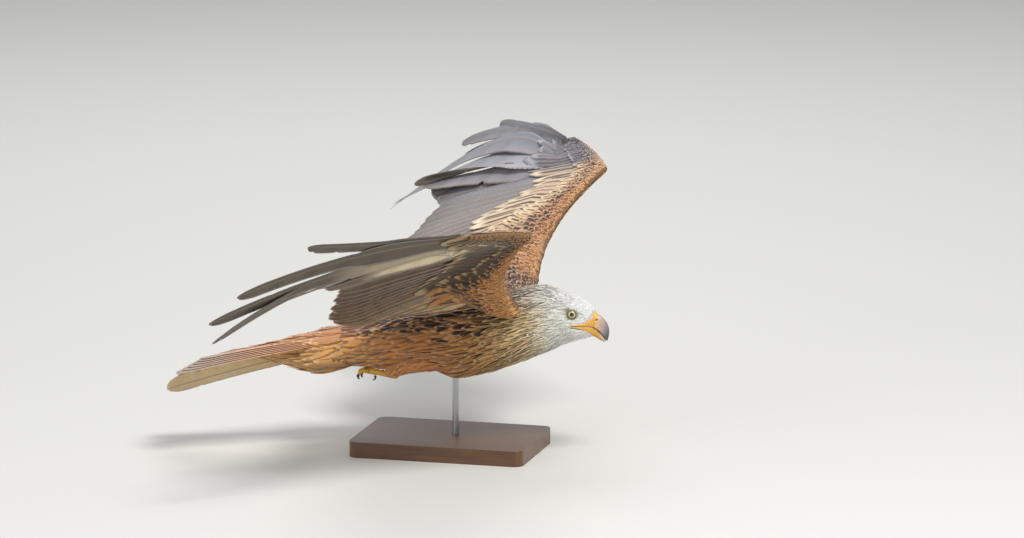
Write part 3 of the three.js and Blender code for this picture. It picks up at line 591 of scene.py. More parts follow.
SKIN_VOXEL = 2.6 * MM
shells, quads, caps, total = [], [], [], 0
for points, shades in forms:
    rows, columns = points.shape[:2]
    shells.append(points.reshape(-1, 3))
    quads.append(grid_faces(rows, columns) + total)
    caps.extend([face + total for face in end_caps(rows, columns)])
    total += rows * columns
form_points = lift_up(np.concatenate(shells))
form_shades = np.concatenate([shades.reshape(-1, 3) for points, shades in forms])
skin = new_piece("skin", form_points, [np.concatenate(quads)] + [[face] for face in caps], plumage_skin)
fuse = skin.modifiers.new("fuse", "REMESH")
fuse.mode = "VOXEL"
fuse.voxel_size = SKIN_VOXEL
fuse.use_smooth_shade = True
relax = skin.modifiers.new("relax", "SMOOTH")
relax.iterations = 4


def apply_modifiers(piece):
    """The piece's mesh with its modifiers applied takes the place of the mesh it had."""
    old = piece.data
    evaluated = piece.evaluated_get(bpy.context.evaluated_depsgraph_get())
    piece.data = bpy.data.meshes.new_from_object(evaluated)
    piece.modifiers.clear()
    piece.data.name = piece.name
    bpy.data.meshes.remove(old)


def set_colours(mesh, name, shades):
    """A colour for each point, kept in the mesh under this name."""
    filled = np.concatenate([shades, np.ones((len(shades), 1))], 1).astype(np.float32)
    mesh.attributes.new(name, "FLOAT_COLOR", "POINT").data.foreach_set("color", filled.ravel())


def nearest(places, wanted):
    """For each wanted point the number of the nearest place."""
    tree = KDTree(len(places))
    for number, place in enumerate(places):
        tree.insert(place, number)
    tree.balance()
    return np.array([tree.find(point)[1] for point in wanted])


apply_modifiers(skin)
fused_points = np.empty(len(skin.data.vertices) * 3, np.float32)
skin.data.vertices.foreach_get("co", fused_points)
set_colours(skin.data, "ground", form_shades[nearest(form_points, fused_points.reshape(-1, 3))])
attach(skin, "root")
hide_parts("torso", "neck", "head", "leg_right", "leg_left")


# Feathers. A small feather is a thin closed vane, lens-shaped across, laid on the skin: it starts in the
# skin, lies back along it, widens, ends in a round or pointed tip and rises to the coat's surface on the way.
class Hide:
    """A stretch of skin for feathers to lie on. point(p, q) is its place p millimetres back along the lie and
    q across; outward gives a rough direction out of it."""

    def __init__(self, point, outward, q_step):
        self.point, self.outward, self.q_step = point, outward, q_step

    def at(self, p, q):
        """Place, normal, and how far it is along and across to one more p and q, by small differences."""
        ahead, behind = self.point(p + 0.5, q), self.point(p - 0.5, q)
        left, right = self.point(p, q + self.q_step), self.point(p, q - self.q_step)
        along, across = ahead - behind, (left - right) / (2 * self.q_step)
        normal = unit(np.cross(along, across))
        normal = normal * np.where(np.sum(normal * self.outward(p, q), -1) < 0, -1, 1)[..., None]
        return self.point(p, q), normal, np.linalg.norm(along, axis=-1), np.linalg.norm(across, axis=-1)


def feather_outline(t, point):
    """Half width along a feather, as a share of its widest: narrow at the root, and a tip between a round one
    (an ellipse's end) and a pointed one (straight sides)."""
    q = np.clip((t - 0.5) / 0.5, 0, 1)
    widening = 0.4 + 0.6 * smooth(t, -0.1, 0.5)
    return widening * mix(np.sqrt(1 - 0.95 * q**2.4), 1 - 0.93 * q, point)


LEAST_SPREAD = 5.0  # millimetres for one step of q, which keeps feathers short where a hide ends


def lay_feathers(
    hide, p, q, length, width, tip, heading=0.0, root=0.3, tilt=0.0, cup=0.12, point=0.3, sweep=0.0, rows=6,
    columns=3, thick=0.5,
):
    """Feathers rooted at p, q on a hide. Each runs its length back along the skin at its heading, bending
    aside by sweep, and stands off it by a height that grows from root to tip, plus tilt across it, less cup
    at its edges, and half its thickness over and under its middle plane."""
    sizes = (length, width, tip, heading, root, tilt, cup, point, sweep)
    sizes = [np.broadcast_to(np.asarray(size, float), len(p))[:, None, None] for size in sizes]
    length, width, tip, heading, root, tilt, cup, point, sweep = sizes
    t = np.linspace(0, 1, rows)[None, :, None] ** 0.85
    over = np.linspace(-1, 1, columns)
    a = np.concatenate([over, over[-2:0:-1]])[None, None, :]
    face = np.concatenate([np.ones(columns), -np.ones(columns - 2)])[None, None, :]
    half = width / 2 * feather_outline(t, point)
    _, _, p_scale, q_scale = hide.at(p, q)
    p_scale, q_scale = np.clip(p_scale, 0.8, 1.25), np.maximum(q_scale, LEAST_SPREAD)
    forward, side = t * length, a * half + sweep * length * t**2
    c, s = np.cos(heading), np.sin(heading)
    places, normals, _, _ = hide.at(
        p[:, None, None] + (forward * c - side * s) / p_scale[:, None, None],
        q[:, None, None] + (forward * s + side * c) / q_scale[:, None, None],
    )
    height = mix(root, tip, t**0.6) + tilt * side - cup * a**2 * half + face * thick / 2 * (1 - a**2)
    points = places + normals * height[..., None]
    return vane_grid(points, a[0, 0], t[0, :, 0])


def vane_grid(points, across, along_it):
    """A feather's or like feathers' points, with how far each is across and along, also as the vane map."""
    t, a = np.meshgrid(along_it, across, indexing="ij")
    return {"points": points, "a": a, "t": t, "vane": np.stack([0.5 + 0.5 * a, t], -1)}


def closed_piece(name, shells, material, slot, *replaced):
    """One mesh of shells with faces turned out, each a closed grid of points or many like grids. A shell's
    colours, pattern and maps are given for all its points, for each of many grids or for each point."""
    groups, total = {}, 0
    for shell in shells:
        rows, columns, _ = shell["points"].shape[-3:]
        flat = shell["points"].reshape(-1, rows * columns, 3)
        faces, ends = grid_faces(rows, columns), end_caps(rows, columns)
        corners = flat[0, faces] - flat[0].mean(0)
        outward = np.cross(corners[:, 1] - corners[:, 0], corners[:, 2] - corners[:, 0])
        if np.sum(outward * corners[:, 0]) < 0:
            faces, ends = faces[:, ::-1], ends[:, ::-1]
        starts = total + np.arange(len(flat))[:, None, None] * rows * columns
        for group in (faces, ends):
            groups.setdefault(group.shape[1], []).append((group + starts).reshape(-1, group.shape[1]))
        total += len(flat) * rows * columns

    def gathered(key, count):
        values = []
        for shell in shells:
            value = shell[key][:, None, None] if shell[key].ndim == 2 else shell[key]
            values.append(np.broadcast_to(value, shell["points"].shape[:-1] + (count,)).reshape(-1, count))
        return np.concatenate(values)

    faces = [np.concatenate(group) for group in groups.values()]
    piece = new_piece(name, lift_up(gathered("points", 3)), faces, material)
    mesh = piece.data
    for key in ("ground", "mark", "rim"):
        if key in shells[0]:
            set_colours(mesh, key, gathered(key, 3))
    if "pattern" in shells[0]:
        pattern = gathered("pattern", 3).astype(np.float32)
        mesh.attributes.new("pattern", "FLOAT_VECTOR", "POINT").data.foreach_set("vector", pattern.ravel())
    corner_points = np.empty(len(mesh.loops), np.int32)
    mesh.loops.foreach_get("vertex_index", corner_points)
    for key in ("around", "vane", "OFBake"):
        if key in shells[0]:
            places = gathered(key, 2)[corner_points].astype(np.float32)
            mesh.uv_layers.new(name=key).data.foreach_set("uv", places.ravel())
    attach(piece, "root")
    if replaced:
        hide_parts(*replaced)


PATCH = 0.003  # the size of a small feather's patch of the OFBake map
MARGIN = 0.02  # and how far its home stays from the map's edge


def coat_piece(name, batches, slot):
    """One mesh of many small feathers. Each one's patch of the OFBake map lies at its home, which is its
    root's place on the skin's unwrap."""
    for batch in batches:
        patch = PATCH * np.stack([0.5 * batch["a"], batch["t"] - 0.5], -1)
        batch["OFBake"] = batch["home"][:, None, None] + patch
    closed_piece(name, batches, contour_plumage, slot)


def unwrapped(across, along_it, low=MARGIN, high=1 - MARGIN):
    """A place on the skin's unwrap, from shares across and along a form, with a margin round it."""
    return np.stack([MARGIN + (1 - 2 * MARGIN) * across, low + (high - low) * along_it], -1)


def body_home(x, turn):
    return unwrapped(turn / FULL_TURN % 1, (x - BODY_BACK) / (BODY_FRONT - BODY_BACK))


def vane_places(tree):
    """What every feather's material reads: how far across it a place is, how far out from the shaft and how
    far along, and the three numbers of its pattern."""
    across, along_it, _ = add_node(tree, "SeparateXYZ", {0: add_node(tree, "UVMap", uv_map="vane")[0]})
    signed = add_node(tree, "MapRange", {"Value": across, "To Min": -1.0, "To Max": 1.0})[0]
    off_shaft = add_node(tree, "Math", {0: signed}, operation="ABSOLUTE")[0]
    pattern = add_node(tree, "Attribute", attribute_name="pattern")["Vector"]
    return across, off_shaft, along_it, add_node(tree, "SeparateXYZ", {0: pattern})


def plumage(name):
    """Feather keratin, matt with a soft sheen. Across the vane the dark streak lies along the shaft and the
    edge colour round the rim; fine light and dark lines run lengthwise, as the barbs lie."""
    material, tree, shader = new_material(
        name, Roughness=0.62, Specular_IOR_Level=0.32, Sheen_Weight=0.25, Sheen_Roughness=0.45
    )
    u, off_shaft, t, (streak, rim, seed) = vane_places(tree)
    streak_start = add_node(tree, "Math", {0: streak, 1: 0.6}, operation="MULTIPLY")[0]
    streak_end = add_node(tree, "Math", {0: streak, 1: 1.15, 2: 0.03}, operation="MULTIPLY_ADD")[0]
    streaked = add_node(
        tree, "MapRange",
        {"Value": off_shaft, "From Min": streak_start, "From Max": streak_end, "To Min": 1.0, "To Max": 0.0},
        interpolation_type="SMOOTHSTEP",
    )[0]
    there = add_node(tree, "Math", {0: streak, 1: 0.03}, operation="GREATER_THAN")[0]
    before_tip = add_node(
        tree, "MapRange", {"Value": t, "From Min": 0.86, "From Max": 1.0, "To Min": 1.0, "To Max": 0.0}
    )[0]
    for share in (before_tip, there):
        streaked = add_node(tree, "Math", {0: streaked, 1: share}, operation="MULTIPLY")[0]
    outer = add_node(tree, "Math", {0: off_shaft, 1: t}, operation="MAXIMUM")[0]
    rim_start = add_node(tree, "Math", {0: 1.0, 1: rim}, operation="SUBTRACT")[0]
    rim_end = add_node(tree, "Math", {0: rim, 1: -0.4, 2: 1.0}, operation="MULTIPLY_ADD")[0]
    rimmed = add_node(
        tree, "MapRange", {"Value": outer, "From Min": rim_start, "From Max": rim_end},
        interpolation_type="SMOOTHSTEP",
    )[0]
    ground, mark, edge = (
        add_node(tree, "Attribute", attribute_name=key)["Color"] for key in ("ground", "mark", "rim")
    )
    marked = add_node(tree, "Mix", {0: streaked, 6: ground, 7: mark}, data_type="RGBA")[2]
    edged = add_node(tree, "Mix", {0: rimmed, 6: marked, 7: edge}, data_type="RGBA")[2]
    barb_lines = add_node(tree, "Math", {0: u, 1: 9.0}, operation="MULTIPLY")[0]
    apart = add_node(tree, "Math", {0: seed, 1: 57.0}, operation="MULTIPLY")[0]
    barbs_at = add_node(tree, "CombineXYZ", {0: barb_lines, 1: t, 2: apart})[0]
    barbs = add_node(tree, "TexNoise", {"Vector": barbs_at, "Scale": 1.6, "Detail": 3.0})["Fac"]
    light = add_node(
        tree, "MapRange",
        {"Value": barbs, "From Min": 0.25, "From Max": 0.75, "To Min": 0.84, "To Max": 1.16},
    )[0]
    finish(tree, shader, edged, light, barbs, 0.35, 0.0006)
    return material


contour_plumage = plumage("contour_feathers")
random = np.random.default_rng(7)


def varied(count, spread):
    """A factor for each of count feathers, near 1."""
    return 1 + spread * np.clip(random.standard_normal(count), -2, 2)


def tinted(shade, spread=0.09):
    """Colours a little lighter or darker from feather to feather."""
    return shade * varied(len(shade), spread)[:, None]


def dress(batch, home, ground, rim, mark, streak, edge, uneven=(0.09, 0.09)):
    """Gives feathers their homes and colours, each a little lighter or darker. Streak and edge give how wide
    the dark streak and the pale rim are. They are called here, so that the random draws keep their order."""
    batch["home"], batch["mark"] = home, mark
    batch["ground"], batch["rim"] = tinted(ground, uneven[0]), tinted(rim, uneven[1])
    batch["pattern"] = np.stack([streak(), edge(), random.random(len(ground))], -1)
    return batch


# Body, neck and head feathers stand in staggered rings round the body, large on the belly and back, narrow
# and pointed on the neck and breast, and a few millimetres long on the head. None grows on the eye, the bare
# lips or where a wing joins.
BODY_LENGTH = [
    [-178, 52], [-120, 50], [-60, 48], [0, 46], [60, 40], [95, 33], [120, 27], [140, 22], [158, 16],
    [172, 11.5], [185, 7.5], [206, 4.5],
]
BODY_WIDTH = [
    [-178, 14], [-60, 13], [0, 12], [60, 10], [95, 8], [120, 5.6], [140, 4.2], [158, 3.4], [175, 2.9],
    [206, 2.3],
]
BODY_POINT = [[-178, 0.55], [-20, 0.6], [60, 0.7], [100, 0.8], [140, 0.8], [170, 0.5], [206, 0.3]]
ROW_STEP, ROW_SIDE = 0.27, 0.42  # spacing of the rows and within them, as shares of length and width
HINDMOST_RING = -166.0
EYE_BARE, WING_BARE = 8.6, 5
VENT_REACH = 186  # the hindmost tips end this far behind the trunk's middle
FEATHER_LINE = [
    # height, how far forward the feathers reach there, over and under the bare yellow lips
    [0, 206.5], [4, 206.5], [10, 203], [14, 194], [16.5, 184], [18, 177.5], [19.8, 184], [22, 191],
    [23.9, 199], [27.5, 203], [33, 205.5], [37, 207.4], [60, 207.4],
]

body_hide = Hide(
    lambda p, q: body_skin(-p, q),
    lambda p, q: np.stack([0 * p, np.cos(q), np.sin(q)], -1),
    0.02,
)


def body_rows():
    """Roots ring by ring from the vent to the bill: each ring's number of feathers follows from its girth."""
    x, found_x, found_turn, ring = HINDMOST_RING, [], [], 0
    while x < BODY_FRONT:
        top, _, bottom, half = body_line(np.array(x))
        girth = np.pi * (half + (top - bottom) / 2)
        count = int(girth / (level(BODY_WIDTH, x) * ROW_SIDE))
        step = level(BODY_LENGTH, x) * ROW_STEP
        turns = (np.arange(count) + 0.5 * (ring % 2)) / count * FULL_TURN
        found_turn.append(turns + random.normal(0, 0.18 / count * FULL_TURN, count))
        found_x.append(x + random.normal(0, 0.16, count) * step)
        x += step
        ring += 1
    return np.concatenate(found_x), np.concatenate(found_turn)


x, turn = body_rows()
places = body_form(x, turn)
from_eye = np.hypot(places[:, 0] - EYE["x"], places[:, 2] - EYE["z"])
feathered = x < level(FEATHER_LINE, places[:, 2])
wing_roots = [
    loop_grid(lambda p, q, w=wing: wing_flesh(w, p, q), np.linspace(-3, 0.6, 10), 36, 2.0)[0].reshape(-1, 3)
    for wing in wings.values()
]
from_wing = np.min(np.linalg.norm(places[:, None, :] - np.concatenate(wing_roots)[None], axis=-1), 1)
kept = (from_eye > EYE_BARE) & feathered & (from_wing > WING_BARE)
x, turn, places = x[kept], turn[kept], places[kept]
ground, mark, rim, streak = body_markings(x, turn)
has_mark = random.random(len(x)) < level(MARKED_SHARE, x)
on_back = np.sin(turn) > BACK_FROM
streak = np.where(has_mark | (on_back & (x < 120)), streak * varied(len(x), 0.2), 0)
flank = np.exp(-(((places[:, 2] - FLANK_HEIGHT) / FLANK_HALF) ** 2))
flank = flank * smooth(x, -80, -30) * (1 - smooth(x, 78, 100))
blotched = random.random(len(x)) < BLOTCH_SHARE * flank
streak = np.where(blotched, BLOTCH_STREAK, streak)
mark = np.where(blotched[:, None], paint("#2c1d13"), mark)
marked = (streak > 0.03) & ~on_back & (x < 130)
length = np.minimum(level(BODY_LENGTH, x) * varied(len(x), 0.1), x + VENT_REACH)
width = level(BODY_WIDTH, x) * varied(len(x), 0.08)
tip = coat_depth(x)[:, 0] * varied(len(x), 0.2) + 0.7 * marked
heading = random.normal(0, 0.08, len(x))
seed = random.random(len(x))
pattern = np.stack([streak, 0.22 * varied(len(x), 0.2), seed], -1)
fields = {"ground": tinted(ground), "mark": mark, "rim": tinted(rim), "pattern": pattern}
fields["home"] = body_home(x, turn)
REGIONS = {
    # from, to, piece, slot
    "body_feathers": (-200, 96, "body_plumage"),
    "neck_feathers": (96, 150, "body_plumage"),
    "head_feathers": (150, 210, "head_plumage"),
}
for name, (low, high, slot) in REGIONS.items():
    here = (x >= low) & (x < high)
    batch = lay_feathers(
        body_hide, -x[here], turn[here], length[here], width[here], tip[here], heading=heading[here],
        tilt=random.normal(0, 0.05, here.sum()), point=level(BODY_POINT, x[here]), cup=0.07,
        sweep=random.normal(0, 0.03, here.sum()), thick=0.45,
    )
    batch.update({key: value[here] for key, value in fields.items()})
    coat_piece(name, [batch], slot)


# Scapulars: long dark feathers with pale edges, rooted in the skin beside the backbone. They lie over each
# shoulder and close the gap behind the upper arm.
SCAPULAR_X = np.arange(14, 80, 7.0)
SCAPULAR_UP = np.radians([62, 71, 80])  # how far up the side they are rooted
SCAPULAR_LENGTH, SCAPULAR_WIDTH = 62, 17
SCAPULAR_TIPS = [[1.08, 13], [1.4, 8]]  # turn up the side, height of the tip over the skin
batches = []
for side in SIDES.values():
    x, up = (values.ravel() for values in np.meshgrid(SCAPULAR_X, SCAPULAR_UP, indexing="ij"))
    count = len(x)
    x = x + random.normal(0, 1.5, count)
    turn = np.pi / 2 - side * (np.pi / 2 - up)
    batch = lay_feathers(
        body_hide, -x, turn, SCAPULAR_LENGTH * varied(count, 0.08), SCAPULAR_WIDTH * varied(count, 0.06),
        level(SCAPULAR_TIPS, up), heading=-0.12 * side + random.normal(0, 0.05, count), cup=0.07, point=0.3,
        rows=9, columns=5,
    )
    ground, rim, mark = (paint(code) * np.ones((count, 1)) for code in ("#7d5d48", "#cfa57c", "#33241d"))
    batches.append(dress(
        batch, body_home(x, turn), ground, rim, mark,
        lambda: 0.55 * varied(count, 0.1), lambda: 0.2 * varied(count, 0.15),
    ))
coat_piece("scapular_feathers", batches, "body_plumage")


# Flight feathers. Each is a long vane on both sides of a stiff shaft that stands out over and under it. The
# row lies like shingles: a feather's outer edge rides over the next one out, at a slope that follows from
# their spacing. The outer primaries are cut in beyond the middle, so that their ends stand apart as fingers.
FLIGHT_WIDTHS = through([[0, 40], [4, 44], [15, 46], [18, 50], [20, 56], [22, 52], [24, 40], [25, 30]])
SHINGLE_STEP, SHINGLE_LOW, SHINGLE_HIGH, MOST_BEND = 1.3, 0.05, 0.3, 0.015
FIRST_FINGER = FIRST_PRIMARY + 5
NOTCH_AT = (0.62, 0.45)  # where a finger narrows, on the first finger and on the last
FLIGHT_FORM, FINGER_FORM = (0.36, 0.2), (0.28, 0.12)  # the outer vane's share and the tip's
VANE_ROWS = 40
# Places across a vane, from its inner edge at -1 past the shaft at 0 to its outer edge at 1
VANE_SHARES = np.array([-1, -0.82, -0.55, -0.28, -0.07, 0, 0.1, 0.4, 0.75, 1])
SHAFT_HEIGHT, VANE_THICK = 0.75, 0.5


def vane_points(root, tip, side, up, inner, outer, start, slope, bend, camber, sweep, narrow, taper):
    """A long feather on rows of t from start to 1. Its middle line runs straight from root to tip, arched up
    by camber and aside by sweep, both times 4v(1-v) and its length, v running from its start to its tip.
    Across it the vane slopes and bends. Each edge is cut by the tip's quarter ellipse, by the finger's notch
    and by a few small splits between barbs."""
    t = start + (1 - start) * np.linspace(0, 1, VANE_ROWS) ** 0.8
    line = tip - root
    length = np.linalg.norm(line)
    arch = (4 * (t - start) * (1 - t) / (1 - start) ** 2 * length)[:, None]
    normal = square_to(up(t), line)
    across = np.cross(line / length, normal) * side
    middle = root + line * t[:, None] + normal * camber * arch + across * sweep * arch
    row = (t - start) / (1 - start)
    end = np.sqrt(np.maximum(1 - (np.maximum(row - 1 + taper, 0) / taper) ** 2, 0.03))
    full = mix(0.5, 1, smooth(row, 0, 0.3)) * narrow(t) * end
    ragged = 1 + random.normal(0, 0.008, (VANE_ROWS, 2))
    for edge in (0, 1):
        for split in random.integers(VANE_ROWS // 3, VANE_ROWS - 2, random.integers(0, 3)):
            ragged[split, edge] *= random.uniform(0.8, 0.93)
    shares = np.concatenate([VANE_SHARES, VANE_SHARES[-2:0:-1]])
    face = np.concatenate([np.ones(len(VANE_SHARES)), -np.ones(len(VANE_SHARES) - 2)])
    reach = np.where(
        shares < 0, (inner(t) * full * ragged[:, 0])[:, None], (outer * full * ragged[:, 1])[:, None]
    )
    a = shares * reach
    ridge = SHAFT_HEIGHT * np.exp(-((shares / 0.05) ** 2)) * (1 - 0.8 * row[:, None])
    thick = face * (VANE_THICK / 2 * (1 - shares**4) + ridge)
    height = slope(t)[:, None] * a - bend(t)[:, None] * a**2 / 2 + thick
    points = middle[:, None, :] + across[:, None, :] * a[..., None] + normal[:, None, :] * height[..., None]
    top = np.broadcast_to(face > 0, a.shape)[..., None]
    return {**vane_grid(points, shares, row), "top": top, "length": length}


def wing_vane(wing, k):
    """Flight feather number k. Its slope and its bend follow from the places of its neighbours."""
    number = np.array(float(k))
    root, tip = wing.root(number), wing.tip(number)
    finger = k >= FIRST_FINGER
    if not finger:
        tip = mix(tip, root, random.uniform(0, 0.03))
    length = np.linalg.norm(tip - root)
    width = FLIGHT_WIDTHS(number)[0] * random.uniform(0.97, 1.03)
    split, taper = FINGER_FORM if finger else FLIGHT_FORM
    at = np.full(VANE_ROWS, float(k))
    notch_at = mix(*NOTCH_AT, (k - FIRST_FINGER) / (LAST - FIRST_FINGER))
    sweep, camber, notch = wing.fingers(number)

    def slope(t):
        return np.clip(SHINGLE_STEP / np.linalg.norm(wing.apart(at, t), axis=-1), SHINGLE_LOW, SHINGLE_HIGH)

    def bend(t):
        gap = wing.apart(at, t)
        before, after = np.maximum(at - 1, 0), np.minimum(at + 1, LAST)
        turn = (wing.up(after, t) - wing.up(before, t)) / (after - before)[:, None]
        reach = np.linalg.norm(gap, axis=-1)
        most = MOST_BEND * (1 - smooth(reach, 12, 26))
        return np.clip(np.sum(turn * gap, -1) / reach**2, -most, most)

    return vane_points(
        root, tip, wing.side, lambda t: wing.up(at, t),
        lambda t: width * (1 - split) + 0 * t, width * split,
        max(core_line(number)[2] - SUNK, 2) / length, slope, bend, camber, sweep,
        lambda t: mix(1, notch, smooth(t, notch_at - 0.07, notch_at + 0.07)), taper,
    )


def long_vanes(name, feathers, node, slot):
    """One mesh of long feathers. Their colours change along and across them. In the OFBake map each feather
    is a strip of its own, with its upper face in the left half."""
    for number, feather in enumerate(feathers):
        across = 0.24 + 0.2 * feather["a"] + 0.5 * ~feather["top"][..., 0]
        feather["OFBake"] = np.stack([across, (number + 0.1 + 0.8 * feather["t"]) / len(feathers)], -1)
    closed_piece(name, feathers, flight_vanes, slot, node)


def flight_vane_material(name):
    """The vane of a flight feather, smooth and a little glossy. Its barbs run out and towards the tip, 0.4 mm
    apart in life and drawn 2.6 mm apart to show. The shaft is a paler horny line, the rim is pale."""
    material, tree, shader = new_material(
        name, Roughness=0.5, Specular_IOR_Level=0.4, Sheen_Weight=0.15, Sheen_Roughness=0.4
    )
    _, off_shaft, t, (length, width, seed) = vane_places(tree)
    forward = add_node(tree, "Math", {0: t, 1: length}, operation="MULTIPLY")[0]
    outward = add_node(tree, "Math", {0: off_shaft, 1: width}, operation="MULTIPLY")[0]
    phase = add_node(tree, "Math", {0: outward, 1: -1.1, 2: forward}, operation="MULTIPLY_ADD")[0]
    drift = add_node(tree, "Math", {0: off_shaft, 1: 3.0}, operation="MULTIPLY")[0]
    apart = add_node(tree, "Math", {0: seed, 1: 91.0}, operation="MULTIPLY")[0]
    barbs_at = add_node(tree, "CombineXYZ", {0: phase, 1: drift, 2: apart})[0]
    barbs = add_node(tree, "TexNoise", {"Vector": barbs_at, "Scale": 0.38, "Detail": 3.0})["Fac"]
    light = add_node(
        tree, "MapRange",
        {"Value": barbs, "From Min": 0.25, "From Max": 0.75, "To Min": 0.9, "To Max": 1.09},
    )[0]
    ground, rim = (add_node(tree, "Attribute", attribute_name=key)["Color"] for key in ("ground", "rim"))
    near_tip = add_node(tree, "Math", {0: t, 1: 12.0}, operation="POWER")[0]
    outer = add_node(tree, "Math", {0: off_shaft, 1: near_tip}, operation="MAXIMUM")[0]
    rimmed = add_node(
        tree, "MapRange", {"Value": outer, "From Min": 0.8, "From Max": 0.97},
        interpolation_type="SMOOTHSTEP",
    )[0]
    edged = add_node(tree, "Mix", {0: rimmed, 6: ground, 7: rim}, data_type="RGBA")[2]
    shaft = add_node(
        tree, "MapRange",
        {"Value": off_shaft, "From Min": 0.03, "From Max": 0.1, "To Min": 0.75, "To Max": 0.0},
        interpolation_type="SMOOTHSTEP",
    )[0]
    shafted = add_node(tree, "Mix", {0: shaft, 6: edged, 7: linear("#8c7a66")}, data_type="RGBA")[2]
    finish(tree, shader, shafted, light, barbs, 0.3, 0.0005)
    return material


flight_vanes = flight_vane_material("flight_feather_vanes")
# Upper sides: on the hand the blue-grey is slate with a painted bluish sheen of the sky.
UPPER_FLIGHT = [
    [0, "#7d6a5b"], [6, "#857a74"], [13, "#8b817d"], [16, "#86868f"], [21, "#898a96"], [25, "#77767f"]
]
UNDER_FLIGHT = [
    [0, "#c9ad80"], [2.5, "#bb9c6e"], [4.5, "#7a5f44"], [10, "#5e4733"], [15, "#614c39"], [19, "#685542"],
    [22, "#5d5142"], [25, "#5a4f42"],
]
WINDOW = paint("#d9c8a4")
DARK_TIP = paint("#58504a")
BAR_SHADE, FLIGHT_BARS, TAIL_BARS = 0.72, 6.5, 8  # how light a dark bar stays, and bars along a feather


def colour_flight_feather(feather, k):
    """Upper side grey-brown on the arm and slate on the hand, which carries a painted bluish sheen; lower
    side brown with dark bars on the inner vane and, on the hand, a cream window over the feathers' bases. The
    tips are darker within a pale rim."""
    t, a, top = feather["t"], feather["a"], feather["top"]
    upper = along(UPPER_FLIGHT, k) * np.ones(a.shape + (1,))
    under = along(UNDER_FLIGHT, k) * np.ones(a.shape + (1,))
    window_end = mix(0.66, 0.42, smooth(k, 20, 22.5))
    window = smooth(k, 15.5, 16.5) * (1 - smooth(t, window_end - 0.12, window_end + 0.12))
    window = window * (1 - smooth(k, 22.3, 23.8))
    under = mix(under, WINDOW, window[..., None])
    bars = smooth(np.sin(FULL_TURN * (t * FLIGHT_BARS + 0.15 * a)), 0.1, 0.7)
    bars = bars * smooth(-a, 0.0, 0.35) * smooth(t, 0.15, 0.4)
    upper = upper * (1 - 0.22 * bars[..., None])
    under = under * (1 - (1 - BAR_SHADE) * bars * (1 - 0.6 * window))[..., None]
    pale_inner = smooth(-a, 0.1, 0.9)[..., None] * 0.35
    upper = mix(upper, paint("#b9aca4"), pale_inner)
    upper = mix(upper, DARK_TIP, (smooth(t, 0.7, 1) * 0.45)[..., None])
    shade = np.where(top, upper, under) * random.uniform(0.92, 1.08)
    pale = np.where(top, paint("#a79c95"), paint("#c9b590"))
    feather["ground"] = shade
    feather["rim"] = mix(shade, pale, 0.75 if k < FIRST_PRIMARY + 4 else 0.3)
    width = FLIGHT_WIDTHS(np.array(float(k)))[0] / 2
    feather["pattern"] = np.broadcast_to([feather["length"], width, random.random()], a.shape + (3,))


for name, wing in wings.items():
    for part, first, last in (("arm", 0, FIRST_PRIMARY - 1), ("hand", FIRST_PRIMARY, LAST)):
        feathers = []
        for k in range(first, last + 1):
            feathers.append(wing_vane(wing, k))
            colour_flight_feather(feathers[-1], k)
        long_vanes(f"{name}_{part}_flight_feathers", feathers, f"wing_{name}_{part}", "wing_plumage")


# Wing coverts: shorter feathers over and under each wing, rooted in its skin in tiers. The greater ones lie
# on the flight feathers' bases and the smallest at the leading edge, and they crowd at the wrist.
TIERS = [
    # root as a share of the way from the leading edge to the quills' roots, length, width, spacing along the
    # row as a share of width, height of the tips
    (1.08, 88, 27, 0.52, 1.9), (0.97, 50, 21, 0.52, 2.1), (0.84, 36, 17, 0.5, 2.1), (0.72, 30, 15, 0.5, 2.0),
    (0.6, 26, 13, 0.5, 2.0), (0.49, 23, 12, 0.5, 1.9), (0.39, 20, 11, 0.5, 1.9), (0.3, 18, 10, 0.5, 1.8),
    (0.21, 16, 9, 0.5, 1.7), (0.13, 13, 8, 0.5, 1.5), (0.06, 11, 7, 0.5, 1.3), (0.0, 9, 6, 0.5, 1.1),
]
LARGE = 2  # the first tiers are greater coverts, of more rows and columns
UPPER_REACH = [[3, 1.9], [15, 1.35]]  # coverts over the wing lie this much further back than those under it
SMALL_WIDER = 1.3  # small coverts are this much wider than their tier's width
UPPER_NARROWER = 0.75  # and the greater coverts over the wing this much narrower
OUTERMOST = 23.7  # no greater coverts lie further out along the hand
CROWDING = [[0, 1], [14, 1], [17, 0.85], [25, 0.6]]  # number along the wing, spacing as a share
LARGE_FULL, SMALL_FULL = 40, 52  # coverts have their full length where the quills lie this far back
COVERED = 180  # the furthest root behind the leading edge


def places_along(wing, share, spacing):
    """Feather numbers spaced evenly in millimetres along the row at this share of the way to the quills."""
    k = np.linspace(-1.5, LAST - 0.3, 300)
    quills = wing.depth(k) - core_line(k)[:, 2]
    points = wing.surface(share * quills + 1, k, 1)
    reach = np.concatenate([[0], np.cumsum(np.linalg.norm(np.diff(points, axis=0), axis=1))])
    step = spacing * level(CROWDING, k)
    number = np.concatenate([[0], np.cumsum(np.diff(reach) / step[1:])])
    return np.interp(np.arange(int(number[-1])) + 0.5, number, k)


